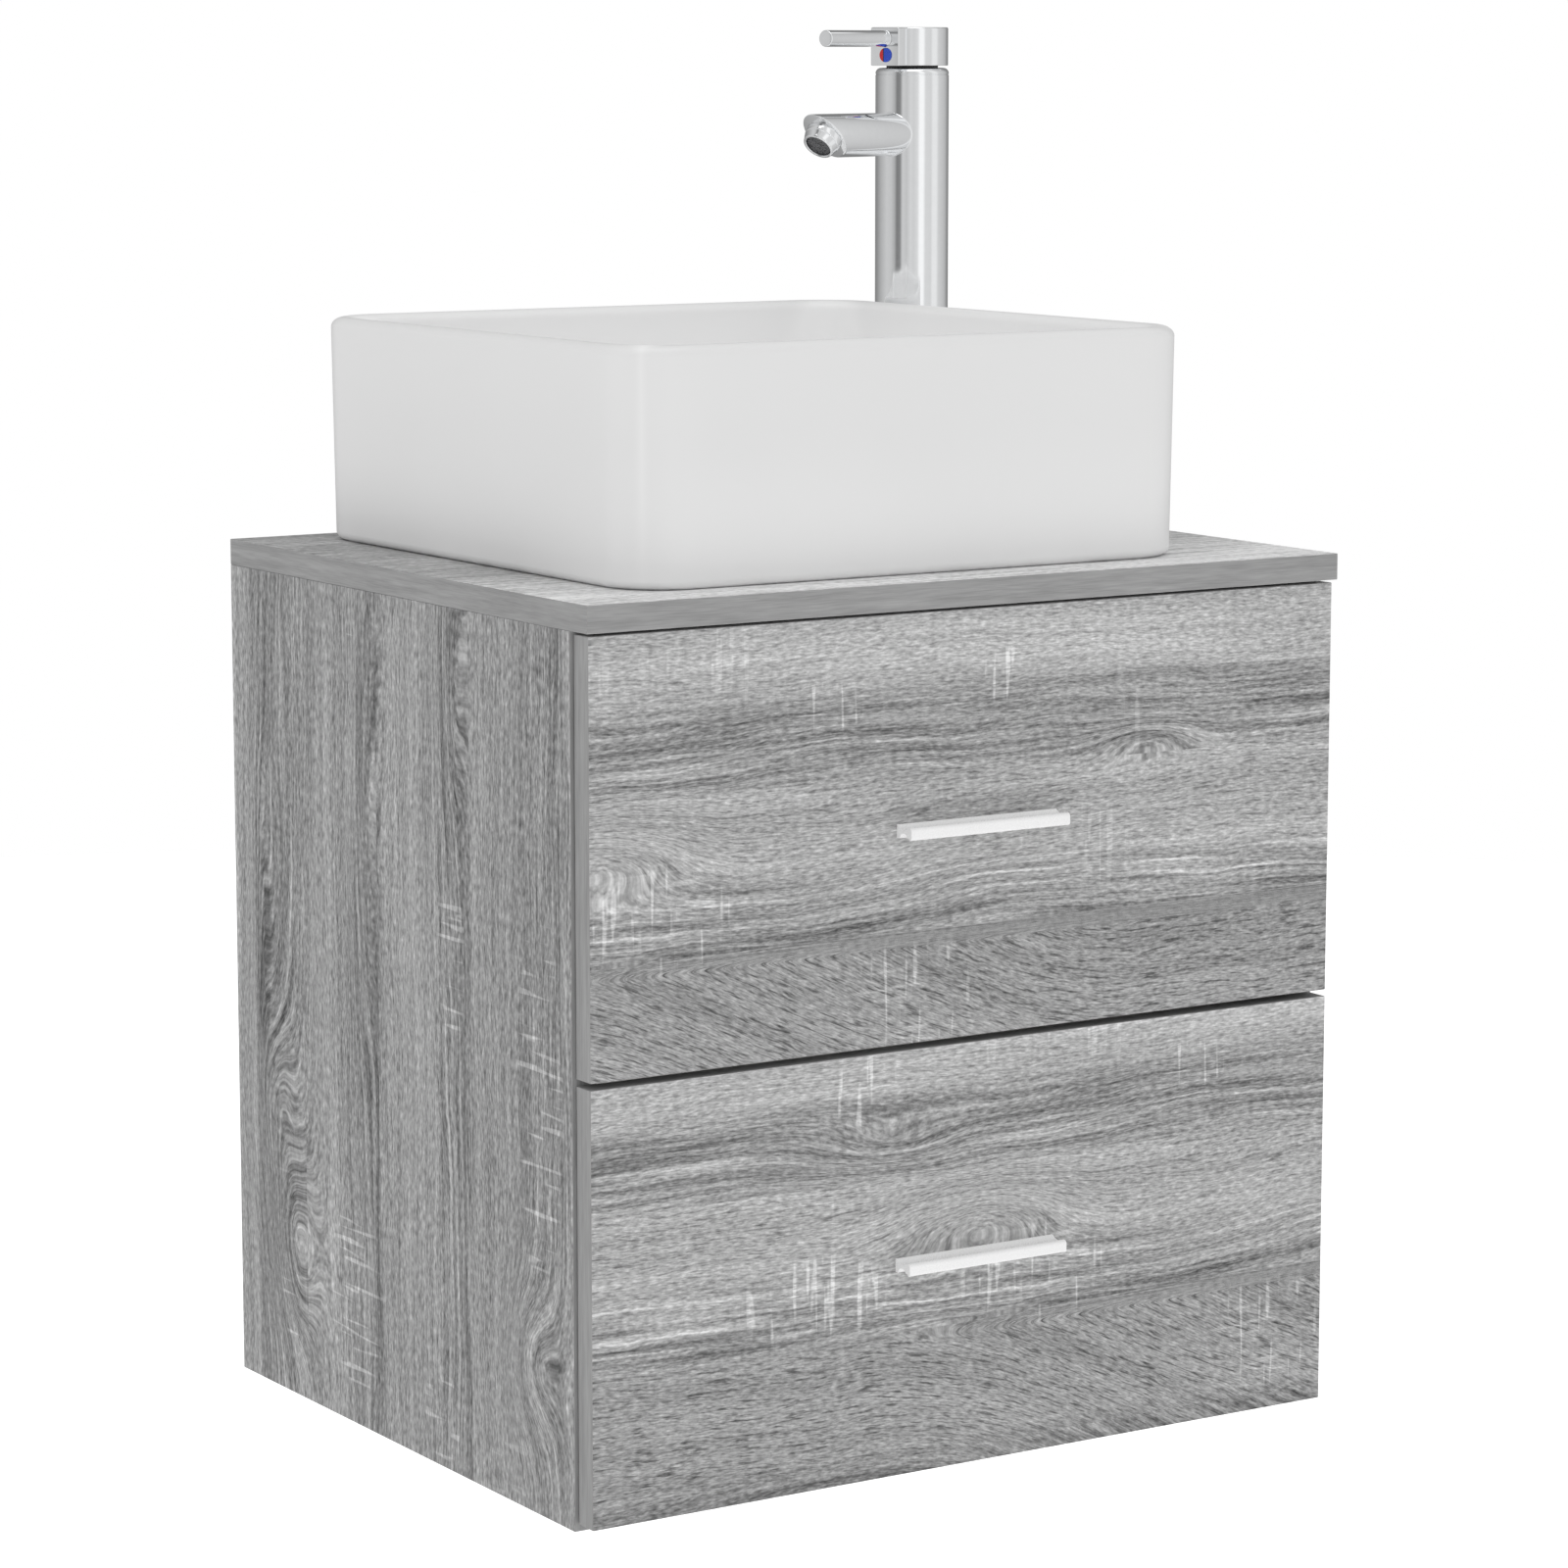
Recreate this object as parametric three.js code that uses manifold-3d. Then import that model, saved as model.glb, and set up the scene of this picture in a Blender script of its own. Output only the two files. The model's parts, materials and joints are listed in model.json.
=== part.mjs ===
// Wall-hung washbasin vanity: two-drawer cabinet, square vessel basin and tall single-lever tap.
// Millimetres. X to the right, Y towards the wall, Z up. The origin is the centre of the back
// face of the upper rear rail, on the wall plane.

import * as THREE from 'three';
import { mergeVertices } from 'three/addons/utils/BufferGeometryUtils.js';
import Module from 'manifold-3d';

const wasm = await Module();
wasm.setup();

// ---------------------------------------------------------------- driving dimensions

// Cabinet, measured from its bottom face and from the wall plane.
const cabinetWidth = 495;
const cabinetDepth = 415;
const cabinetHeight = 500;
const board = 15;
const railHeight = 70;
const drainHoleRadius = 24;
const tapHoleRadius = 17;

// Drawer fronts.
const frontWidth = 491;
const frontInset = 2.5;
const frontClearance = 1;
const lowerFrontBottom = 4.25;
const lowerFrontHeight = 239;
const upperFrontBottom = 247;
const upperFrontHeight = 236.25;

// Drawer boxes.
const drawerLength = 300;
const drawerBoard = 12;
const drawerBottomBoard = 6;
const upperBoxBottom = 265;
const upperBoxHeight = 120;
const lowerBoxBottom = 22;
const lowerBoxHeight = 150;
const recessWidth = 140;
const recessDepth = 170;

// Telescopic runners.
const runnerGap = 12.5;
const runnerLength = 298;
const runnerSetback = 2;
const runnerSheet = 1.25;

// Handles.
const handleLength = 105.5;

// Basin.
const basinX = -14.5;
const basinY = -198.25;
const basinHalf = 183.75;
const basinDraft = 1.5;
const basinHeight = 130;
const basinCorner = 35;
const basinRim = 12;
const basinFloor = 14;
const basinHoleRadius = 22.5;

// Waste and bottle trap.
const wasteTubeRadius = 20.5;
const wasteTubeBore = 17;
const wasteTubeEnd = 440;
const trapOutletHeight = 385;
const trapPipeRadius = 16;
const trapPipeBore = 13.75;
const trapBodyRadius = 26;

// Tap.
const tapX = 206.25;
const tapY = -40.5;
const tapTurn = THREE.MathUtils.degToRad(20);
const tapBodyRadius = 22.75;
const tapBodyTop = 272.5;
const tapGasket = 1.5;
const cartridgeBore = 18;
const capRadius = 22.25;
const capHeight = 23.4;
const capGap = 1.4;
const capNoseReach = 29;
const capNoseHalfWidth = 10.6;
const capTilt = THREE.MathUtils.degToRad(20);
const leverRadius = 5;
const leverReach = 89.5;
const leverDrop = 6.9;
const leverPinX = 12;
const leverPinRise = 3;
const spoutRadius = 13.2;
const spoutHeight = 231.9;
const spoutReach = 90.3;
const aeratorRadius = 11.3;
const aeratorEndRadius = 9.8;
const aeratorBore = 8;
const aeratorLength = 9.3;
const aeratorSeat = 5;
const looseGap = 0.3;

// Values worked out from the driving dimensions.
const originHeight = cabinetHeight - board - railHeight / 2;
const innerHalfWidth = cabinetWidth / 2 - board;
const topUnderside = cabinetHeight - board;
const frontFace = -cabinetDepth + frontInset;
const frontBack = frontFace + board;
const sideFrontEdge = frontBack + frontClearance;
const boxHalfWidth = innerHalfWidth - runnerGap;
const boxBack = frontBack + drawerLength;

// ---------------------------------------------------------------- materials

function surface(color, roughness, metalness) {
  return () => new THREE.MeshStandardMaterial({ color, roughness, metalness });
}

const greyOak = surface(0xa6a4a1, 0.6, 0);
const drawerWhite = surface(0xe6e6e4, 0.5, 0);
const zincSteel = surface(0xb4b8bc, 0.35, 0.9);
const whiteLacquer = surface(0xf2f2f2, 0.3, 0);
const whiteCeramic = surface(0xe9eaec, 0.08, 0);
const chrome = surface(0xdadde0, 0.05, 1);
const blackRubber = surface(0x26272a, 0.8, 0);
const whitePlastic = surface(0xeeeeee, 0.4, 0);
const greyPlastic = surface(0x55585c, 0.5, 0);
const dotBlue = surface(0x1f55b8, 0.3, 0);

// ---------------------------------------------------------------- geometry helpers

const vanity = new THREE.Group();

function addMesh(name, geometry, material, parent = vanity) {
  const mesh = new THREE.Mesh(geometry, material());
  mesh.name = name;
  parent.add(mesh);
  return mesh;
}

// A box between two limits on each axis.
function boxBetween([x0, x1], [y0, y1], [z0, z1]) {
  const geometry = new THREE.BoxGeometry(x1 - x0, y1 - y0, z1 - z0);
  return geometry.translate((x0 + x1) / 2, (y0 + y1) / 2, (z0 + z1) / 2);
}

function signedVolume(position, index) {
  const corner = [new THREE.Vector3(), new THREE.Vector3(), new THREE.Vector3()];
  let volume = 0;
  for (let i = 0; i < index.length; i += 3) {
    corner.forEach((point, k) => point.fromBufferAttribute(position, index[i + k]));
    volume += corner[0].dot(corner[1].cross(corner[2])) / 6;
  }
  return volume;
}

// Merges shared vertices, drops collapsed triangles and turns every face outwards.
function closed(source) {
  const bare = source.clone();
  bare.deleteAttribute('normal');
  bare.deleteAttribute('uv');
  const geometry = mergeVertices(bare, 1e-4);
  const index = [];
  const all = geometry.index.array;
  for (let i = 0; i < all.length; i += 3) {
    const [a, b, c] = [all[i], all[i + 1], all[i + 2]];
    if (a !== b && b !== c && c !== a) index.push(a, b, c);
  }
  if (signedVolume(geometry.attributes.position, index) < 0) index.reverse();
  geometry.setIndex(index);
  geometry.computeVertexNormals();
  return geometry;
}

function toSolid(geometry) {
  const clean = closed(geometry);
  const mesh = new wasm.Mesh({
    numProp: 3,
    vertProperties: new Float32Array(clean.attributes.position.array),
    triVerts: new Uint32Array(clean.index.array),
  });
  return new wasm.Manifold(mesh);
}

function toGeometry(solid) {
  const mesh = solid.getMesh();
  const geometry = new THREE.BufferGeometry();
  geometry.setAttribute('position', new THREE.BufferAttribute(mesh.vertProperties, 3));
  geometry.setIndex(new THREE.BufferAttribute(mesh.triVerts, 1));
  geometry.computeVertexNormals();
  return geometry;
}

function cut(base, ...tools) {
  return toGeometry(tools.reduce((solid, tool) => solid.subtract(toSolid(tool)), toSolid(base)));
}

function join(first, ...others) {
  return toGeometry(others.reduce((solid, piece) => solid.add(toSolid(piece)), toSolid(first)));
}

// Points on an arc from one angle to another, in degrees.
function arc(centreX, centreY, radius, from, to, steps) {
  const points = [];
  for (let i = 0; i <= steps; i += 1) {
    const angle = THREE.MathUtils.degToRad(from + ((to - from) * i) / steps);
    points.push([centreX + radius * Math.cos(angle), centreY + radius * Math.sin(angle)]);
  }
  return points;
}

// A profile of [radius, height] points turned about the Z axis.
function turned(profile, segments = 32) {
  const points = profile.map(([r, z]) => new THREE.Vector2(Math.abs(r) < 1e-6 ? 0 : r, z));
  return closed(new THREE.LatheGeometry(points, segments).rotateX(Math.PI / 2));
}

function disc(radius, z0, z1, segments = 32) {
  return turned([[0, z0], [radius, z0], [radius, z1], [0, z1]], segments);
}

function ring(inner, outer, z0, z1, segments = 32) {
  return turned([[inner, z0], [outer, z0], [outer, z1], [inner, z1], [inner, z0]], segments);
}

function outline(points) {
  return new THREE.Shape(points.map(([x, y]) => new THREE.Vector2(x, y)));
}

// An outline drawn in X and Z, extruded along Y from y0 to y1.
function alongY(shape, y0, y1) {
  const geometry = new THREE.ExtrudeGeometry(shape, { depth: y1 - y0, bevelEnabled: false });
  const toWorld = new THREE.Matrix4().makeBasis(
    new THREE.Vector3(1, 0, 0),
    new THREE.Vector3(0, 0, 1),
    new THREE.Vector3(0, -1, 0),
  );
  return closed(geometry.applyMatrix4(toWorld).translate(0, y1, 0));
}

// An outline drawn in forwards (towards -Y) and Z, extruded along X and centred on x = 0.
function alongX(shape, length) {
  const geometry = new THREE.ExtrudeGeometry(shape, { depth: length, bevelEnabled: false });
  const toWorld = new THREE.Matrix4().makeBasis(
    new THREE.Vector3(0, -1, 0),
    new THREE.Vector3(0, 0, 1),
    new THREE.Vector3(-1, 0, 0),
  );
  return closed(geometry.applyMatrix4(toWorld).translate(length / 2, 0, 0));
}

// A hexagonal nut with a plain bore. corner is the radius of its corners.
function hexNut(bore, corner, z0, z1) {
  const hexagon = outline(arc(0, 0, corner, 0, 300, 5));
  const body = new THREE.ExtrudeGeometry(hexagon, { depth: z1 - z0, bevelEnabled: false });
  return cut(body.translate(0, 0, z0), disc(bore, z0 - 1, z1 + 1));
}

// ---------------------------------------------------------------- cabinet

function addCabinet() {
  const slab = boxBetween(
    [-cabinetWidth / 2, cabinetWidth / 2],
    [-cabinetDepth, 0],
    [topUnderside, cabinetHeight],
  );
  const drainHole = disc(drainHoleRadius, topUnderside - 1, cabinetHeight + 1).translate(basinX, basinY, 0);
  const tapHole = disc(tapHoleRadius, topUnderside - 1, cabinetHeight + 1).translate(tapX, tapY, 0);
  addMesh('countertop', cut(slab, drainHole, tapHole), greyOak);

  for (const [side, sign] of [['left', -1], ['right', 1]]) {
    const edges = [sign * innerHalfWidth, (sign * cabinetWidth) / 2].sort((a, b) => a - b);
    addMesh(`side_panel_${side}`, boxBetween(edges, [sideFrontEdge, 0], [0, topUnderside]), greyOak);
  }
  const between = [-innerHalfWidth, innerHalfWidth];
  const railDepth = [-board, 0];
  const upperRail = [topUnderside - railHeight, topUnderside];
  const lowerRail = [board, board + railHeight];
  addMesh('bottom_panel', boxBetween(between, [sideFrontEdge, 0], [0, board]), greyOak);
  addMesh('upper_rear_rail', boxBetween(between, railDepth, upperRail), greyOak);
  addMesh('lower_rear_rail', boxBetween(between, railDepth, lowerRail), greyOak);
}

// Steel hangers inside the side panels, each with a hook that catches a plate on the wall.
function addHangers() {
  const thickness = 12;
  const top = topUnderside - railHeight - 6;
  const housingBottom = top - 54;
  const housingTop = top - 8;
  const [housingBack, housingFront] = [6, 42];
  const tongueFront = 16;
  const toothBack = 1;
  const [toothBottom, toothTop] = [top - 22, top - 12];
  const hook = outline([
    [housingBack, housingBottom], [housingFront, housingBottom], [housingFront, housingTop],
    [tongueFront, housingTop], [tongueFront, top], [housingBack, top], [housingBack, toothTop],
    [toothBack, toothTop], [toothBack, toothBottom], [housingBack, toothBottom],
  ]);
  for (const [side, sign] of [['left', -1], ['right', 1]]) {
    const geometry = alongX(hook, thickness).translate(sign * (innerHalfWidth - thickness / 2), 0, 0);
    addMesh(`wall_hanger_${side}`, geometry, zincSteel);
  }
}

// ---------------------------------------------------------------- drawers

// Handle profile: a back flange, a shallow dished arm and a rounded lip with a finger hollow below.
function handleOutline() {
  const backTop = [[0, 3.75]];
  const dish = arc(6.5, 9.25, 7.6, 226, 285, 6);
  const lipTop = arc(12.25, 1, 2.25, 100, 10, 4);
  const lipBottom = arc(13, -2.25, 1.5, 0, -165, 5);
  const hollow = arc(6.75, -4, 3.5, 20, 160, 7);
  const foot = [[2.5, -3.75], [0, -3.75]];
  return outline([...backTop, ...dish, ...lipTop, ...lipBottom, ...hollow, ...foot]);
}

function addFront(level, bottom, height) {
  const half = frontWidth / 2;
  const front = boxBetween([-half, half], [frontFace, frontBack], [bottom, bottom + height]);
  addMesh(`${level}_drawer_front`, front, greyOak);
  const handle = alongX(handleOutline(), handleLength).translate(0, frontFace, bottom + height / 2);
  addMesh(`${level}_handle`, handle, whiteLacquer);
}

function addDrawerSides(level, bottom, height) {
  const depths = [frontBack, boxBack];
  const heights = [bottom, bottom + height];
  const inner = boxHalfWidth - drawerBoard;
  const left = boxBetween([-boxHalfWidth, -inner], depths, heights);
  const right = boxBetween([inner, boxHalfWidth], depths, heights);
  addMesh(`${level}_drawer_side_left`, left, drawerWhite);
  addMesh(`${level}_drawer_side_right`, right, drawerWhite);
}

// The upper box goes round the trap: its bottom and back are open behind a U-shaped recess.
function addUpperDrawer() {
  addFront('upper', upperFrontBottom, upperFrontHeight);
  addDrawerSides('upper', upperBoxBottom, upperBoxHeight);
  const inner = boxHalfWidth - drawerBoard;
  const floorTop = upperBoxBottom + drawerBottomBoard;
  const walls = [floorTop, upperBoxBottom + upperBoxHeight];
  const recessCentre = Math.round(basinX);
  const recessLeft = recessCentre - recessWidth / 2;
  const recessRight = recessCentre + recessWidth / 2;
  const recessFront = boxBack - recessDepth;
  const backY = [boxBack - drawerBoard, boxBack];

  const floor = outline([
    [-inner, frontBack], [inner, frontBack], [inner, boxBack], [recessRight, boxBack],
    [recessRight, recessFront], [recessLeft, recessFront], [recessLeft, boxBack], [-inner, boxBack],
  ]);
  const floorBoard = new THREE.ExtrudeGeometry(floor, { depth: drawerBottomBoard, bevelEnabled: false });
  addMesh('upper_drawer_bottom', closed(floorBoard.translate(0, 0, upperBoxBottom)), drawerWhite);

  const recessWalls = {
    recess_wall_left: [[recessLeft - drawerBoard, recessLeft], [recessFront, boxBack]],
    recess_wall_right: [[recessRight, recessRight + drawerBoard], [recessFront, boxBack]],
    recess_wall_front: [
      [recessLeft - drawerBoard, recessRight + drawerBoard],
      [recessFront - drawerBoard, recessFront],
    ],
    drawer_back_left: [[-inner, recessLeft - drawerBoard], backY],
    drawer_back_right: [[recessRight + drawerBoard, inner], backY],
  };
  for (const [name, [x, y]] of Object.entries(recessWalls)) {
    addMesh(`upper_${name}`, boxBetween(x, y, walls), drawerWhite);
  }
}

function addLowerDrawer() {
  addFront('lower', lowerFrontBottom, lowerFrontHeight);
  addDrawerSides('lower', lowerBoxBottom, lowerBoxHeight);
  const inner = boxHalfWidth - drawerBoard;
  const floorTop = lowerBoxBottom + drawerBottomBoard;
  const floor = boxBetween([-inner, inner], [frontBack, boxBack], [lowerBoxBottom, floorTop]);
  addMesh('lower_drawer_bottom', floor, drawerWhite);
  const back = boxBetween(
    [-inner, inner],
    [boxBack - drawerBoard, boxBack],
    [floorTop, lowerBoxBottom + lowerBoxHeight],
  );
  addMesh('lower_drawer_back', back, drawerWhite);
}

// A folded steel channel seen from its end. web is the distance of its web from the side panel,
// and reach is how far its two flanges go from there, towards the drawer or back from it.
function channel(sign, web, reach, height) {
  const half = height / 2;
  const step = Math.sign(reach) * runnerSheet;
  const far = web + reach;
  const points = [
    [web, -half], [far, -half], [far, -half + runnerSheet], [web + step, -half + runnerSheet],
    [web + step, half - runnerSheet], [far, half - runnerSheet], [far, half], [web, half],
  ];
  return outline(points.map(([u, z]) => [sign * (innerHalfWidth - u), z]));
}

function addRunners(level, centreHeight) {
  const members = {
    cabinet_runner: [0, 10.5, 45],
    middle_runner: [4, 6.5, 38],
    drawer_runner: [runnerGap, -6, 32],
  };
  const front = frontBack + runnerSetback;
  for (const [side, sign] of [['left', -1], ['right', 1]]) {
    for (const [member, [web, reach, height]] of Object.entries(members)) {
      const shape = channel(sign, web, reach, height);
      const geometry = alongY(shape, front, front + runnerLength).translate(0, 0, centreHeight);
      addMesh(`${level}_${member}_${side}`, geometry, zincSteel);
    }
  }
}

// ---------------------------------------------------------------- basin

// One ring of a square with rounded corners.
function squareRing(half, radius, z, steps) {
  const round = Math.min(half, radius);
  const centre = half - round;
  const corners = [[1, 1, 0], [-1, 1, 90], [-1, -1, 180], [1, -1, 270]];
  return corners.flatMap(([sx, sy, from]) =>
    arc(sx * centre, sy * centre, round, from, from + 90, steps).map(([x, y]) => [x, y, z]));
}

// Joins a closed loop of rings into one skin.
function loft(rings) {
  const count = rings[0].length;
  const index = [];
  rings.forEach((_, j) => {
    const next = (j + 1) % rings.length;
    for (let i = 0; i < count; i += 1) {
      const k = (i + 1) % count;
      const [a, b, c, d] = [j * count + i, j * count + k, next * count + k, next * count + i];
      index.push(a, b, c, a, c, d);
    }
  });
  const geometry = new THREE.BufferGeometry();
  geometry.setAttribute('position', new THREE.Float32BufferAttribute(rings.flat(2), 3));
  geometry.setIndex(index);
  return closed(geometry);
}

function addBasin() {
  const cornerSteps = 6;
  const footRound = 6;
  const rimRound = basinRim / 2;
  const rimHalf = basinHalf + basinDraft;
  const rimCentre = basinHeight - rimRound;
  const bowlRound = 25;
  const bowlCorner = basinCorner + 8;
  const bowlDraft = 6;
  const bowlFall = 9;
  const drainDish = 38;
  const wallFoot = rimHalf - basinRim - bowlDraft;
  const bowlFoot = arc(wallFoot - bowlRound, basinFloor + bowlFall + bowlRound, bowlRound, 0, -80, 4);
  const sections = [
    [basinHoleRadius, 0, basinHoleRadius],
    ...arc(basinHalf - footRound, footRound, footRound, -90, 0, 3).map(([h, z]) => [h, z, basinCorner]),
    ...arc(rimHalf - rimRound, rimCentre, rimRound, 0, 180, 6).map(([h, z]) => [h, z, basinCorner]),
    ...bowlFoot.map(([h, z]) => [h, z, bowlCorner]),
    [drainDish, basinFloor, drainDish],
    [basinHoleRadius, basinFloor, basinHoleRadius],
  ];
  const rings = sections.map(([half, z, corner]) => squareRing(half, corner, z, cornerSteps));
  addMesh('basin', loft(rings).translate(basinX, basinY, cabinetHeight), whiteCeramic);
}

// ---------------------------------------------------------------- waste and trap

function addWaste() {
  const group = new THREE.Group();
  group.position.set(basinX, basinY, 0);
  vanity.add(group);
  const seat = cabinetHeight + basinFloor;
  const sealTop = seat + 1.5;
  const flangeTop = sealTop + 3;
  const flangeRadius = 31.5;
  const throatRadius = 22;
  addMesh('waste_seal', ring(throatRadius, flangeRadius - 0.5, seat, sealTop), blackRubber, group);

  const tube = turned([
    [wasteTubeBore, wasteTubeEnd], [wasteTubeRadius, wasteTubeEnd], [wasteTubeRadius, sealTop],
    [flangeRadius, sealTop], [flangeRadius - 0.5, flangeTop], [throatRadius, flangeTop],
    [wasteTubeBore, flangeTop - 4], [wasteTubeBore, wasteTubeEnd],
  ]);
  const stemRadius = 4;
  const stemEnd = 482;
  const bridgeHeight = [488, 494];
  const bridge = boxBetween([-wasteTubeBore - 1, wasteTubeBore + 1], [-3, 3], bridgeHeight);
  const hub = disc(7, ...bridgeHeight, 24);
  const stemHole = disc(stemRadius + 0.5, bridgeHeight[0] - 1, bridgeHeight[1] + 1, 24);
  addMesh('waste_body', cut(join(tube, bridge, hub), stemHole), chrome, group);

  const plugBase = flangeTop + looseGap;
  const plugRadius = 29;
  const plugEdge = plugBase + 1.5;
  const crown = 5;
  const domeRadius = (plugRadius ** 2 + crown ** 2) / (2 * crown);
  const domeStart = THREE.MathUtils.radToDeg(Math.asin((domeRadius - crown) / domeRadius));
  const dome = arc(0, plugEdge + crown - domeRadius, domeRadius, domeStart, 90, 4);
  const plug = turned([
    [0, stemEnd], [stemRadius, stemEnd], [stemRadius, plugBase], [plugRadius, plugBase], ...dome,
  ]);
  addMesh('waste_plug', plug, chrome, group);

  const washerBottom = topUnderside - 3;
  const nut = hexNut(wasteTubeRadius + 0.5, 31, washerBottom - 10, washerBottom);
  addMesh('waste_washer', ring(wasteTubeRadius + 1, 32, washerBottom, topUnderside), blackRubber, group);
  addMesh('waste_nut', nut, zincSteel, group);
}

function addTrap() {
  const group = new THREE.Group();
  group.position.set(basinX, basinY, 0);
  vanity.add(group);
  const dipTubeEnd = 335;
  const dipTube = ring(trapPipeBore, trapPipeRadius, dipTubeEnd, wasteTubeEnd + 8);
  addMesh('trap_dip_tube', dipTube, whitePlastic, group);
  addMesh('trap_inlet_nut', turned([
    [16.5, 424], [24, 424], [25, 427], [25, 448], [21, 448], [21, 439], [16.5, 436], [16.5, 424],
  ]), whitePlastic, group);

  const waterRadius = 23;
  const shellBottom = 308;
  const shell = turned([
    [waterRadius, shellBottom], [trapBodyRadius, shellBottom], [trapBodyRadius, 404], [20, 412],
    [20, 422], [16.5, 422], [16.5, 410], [waterRadius, 402], [waterRadius, shellBottom],
  ]);
  const spigotStart = 18;
  const spigotEnd = 48;
  const pipeStart = 32;
  const towardsWall = (geometry, from) =>
    geometry.rotateX(-Math.PI / 2).translate(0, from, trapOutletHeight);
  const spigot = towardsWall(disc(19, 0, spigotEnd - spigotStart), spigotStart);
  const spigotBore = towardsWall(disc(trapPipeRadius + 0.5, 0, spigotEnd), spigotStart + 2);
  const keepInside = disc(waterRadius - 0.1, shellBottom + 2, 401);
  addMesh('trap_body', cut(join(shell, cut(spigot, keepInside)), spigotBore), whitePlastic, group);

  const cup = turned([
    [0, 292], [28, 292], [31, 295], [31, 322], [26.5, 322], [26.5, 306], [24, 300], [0, 300],
  ]);
  addMesh('trap_cup', cup, whitePlastic, group);

  const pipe = ring(trapPipeBore, trapPipeRadius, 0, -basinY - pipeStart);
  addMesh('outlet_nut', towardsWall(ring(19.5, 24, 0, 17), pipeStart - 1), whitePlastic, group);
  addMesh('outlet_pipe', towardsWall(pipe, pipeStart), whitePlastic, group);
}

// ---------------------------------------------------------------- tap

// Inside the tap's group the spout points along -X.
function addTap() {
  const group = new THREE.Group();
  group.position.set(tapX, tapY, cabinetHeight);
  group.rotation.z = tapTurn;
  vanity.add(group);

  addTapBody(group);
  addAerator(group);
  addTapFixing(group);
  addLever(group);
}

function addTapBody(group) {
  const base = tapGasket;
  const footRadius = 25;
  const footTop = base + 5;
  const shoulder = 4;
  const outside = turned([
    [0, base], [footRadius, base], [footRadius, footTop - 1], [footRadius - 1, footTop],
    [tapBodyRadius, footTop],
    ...arc(tapBodyRadius - shoulder, tapBodyTop - shoulder, shoulder, 0, 90, 4), [0, tapBodyTop],
  ]);
  const spoutLength = spoutReach + spoutRadius + 2;
  const tube = disc(spoutRadius, 0, spoutLength).rotateY(-Math.PI / 2).translate(0, 0, spoutHeight);
  const mitre = boxBetween([-60, 60], [-30, 30], [-60, 0]).rotateY(Math.PI / 4);
  mitre.translate(-spoutReach, 0, spoutHeight);
  const spout = cut(tube, mitre);
  const pocket = disc(aeratorRadius + looseGap, -1, aeratorSeat + looseGap).rotateY(Math.PI / 4);
  pocket.translate(-spoutReach, 0, spoutHeight);
  const cartridgeHole = disc(cartridgeBore, tapBodyTop - 42, tapBodyTop + 1);
  const inletHole = disc(14, base - 1, base + 50);
  const body = cut(join(outside, spout), pocket, cartridgeHole, inletHole);
  addMesh('tap_body', body, chrome, group);
}

// Both pieces sit on the mitred end of the spout and point down and outwards.
function addAerator(group) {
  const place = (geometry) =>
    geometry.rotateY(Math.PI / 4).translate(-spoutReach, 0, spoutHeight);
  const rim = 0.8;
  const housing = turned([
    [aeratorBore, -aeratorLength], [aeratorEndRadius - rim, -aeratorLength],
    [aeratorEndRadius, rim - aeratorLength], [aeratorRadius, -4], [aeratorRadius, aeratorSeat],
    [aeratorBore, aeratorSeat], [aeratorBore, -aeratorLength],
  ]);
  const insert = disc(aeratorBore - looseGap, rim - aeratorLength, aeratorSeat - 1);
  addMesh('aerator_housing', place(housing), chrome, group);
  addMesh('aerator_insert', place(insert), greyPlastic, group);
}

function addTapFixing(group) {
  const shankRadius = 15.5;
  addMesh('tap_gasket', ring(16.5, 24.5, 0, tapGasket), blackRubber, group);
  addMesh('tap_shank', ring(13, shankRadius, -60, tapGasket - looseGap), zincSteel, group);
  const nutBore = shankRadius + 0.5;
  const nutFlange = ring(nutBore, 22, -board - 3, -board);
  const nut = hexNut(nutBore, 21, -board - 14, -board - 2.5);
  addMesh('shank_nut', join(nutFlange, nut), zincSteel, group);
}

// Round cap with a block-shaped nose towards the lever.
function capOutline() {
  const joint = THREE.MathUtils.radToDeg(Math.asin(capNoseHalfWidth / capRadius));
  return outline([
    [-capNoseReach, capNoseHalfWidth],
    [-capNoseReach, -capNoseHalfWidth],
    ...arc(0, 0, capRadius, 180 + joint, 540 - joint, 32),
  ]);
}

// A short rod along Y at the lever's pin.
function pinRod(radius, length, capBottom) {
  const rod = disc(radius, -length / 2, length / 2, 16).rotateX(Math.PI / 2);
  return rod.translate(leverPinX, 0, capBottom + leverPinRise);
}

// The cartridge in the body, and its turntable, whose two ears and pin carry the lever stem.
function addCartridge(group, capBottom) {
  const top = tapBodyTop - 7;
  addMesh('cartridge', disc(cartridgeBore - looseGap, top - 34, top), whitePlastic, group);

  const tableTop = tapBodyTop - 1;
  const earDepth = [leverPinX - 3.5, leverPinX + 3.5];
  const earOffset = 6.5;
  const earHeights = [tableTop - 1, capBottom + 6];
  const ears = [-earOffset, earOffset].map((y) => boxBetween(earDepth, [y - 2, y + 2], earHeights));
  const table = disc(17, top + 0.5, tableTop, 24);
  const pin = pinRod(1.5, 2 * earOffset, capBottom);
  addMesh('cartridge_turntable', join(table, ...ears, pin), whitePlastic, group);
}

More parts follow.
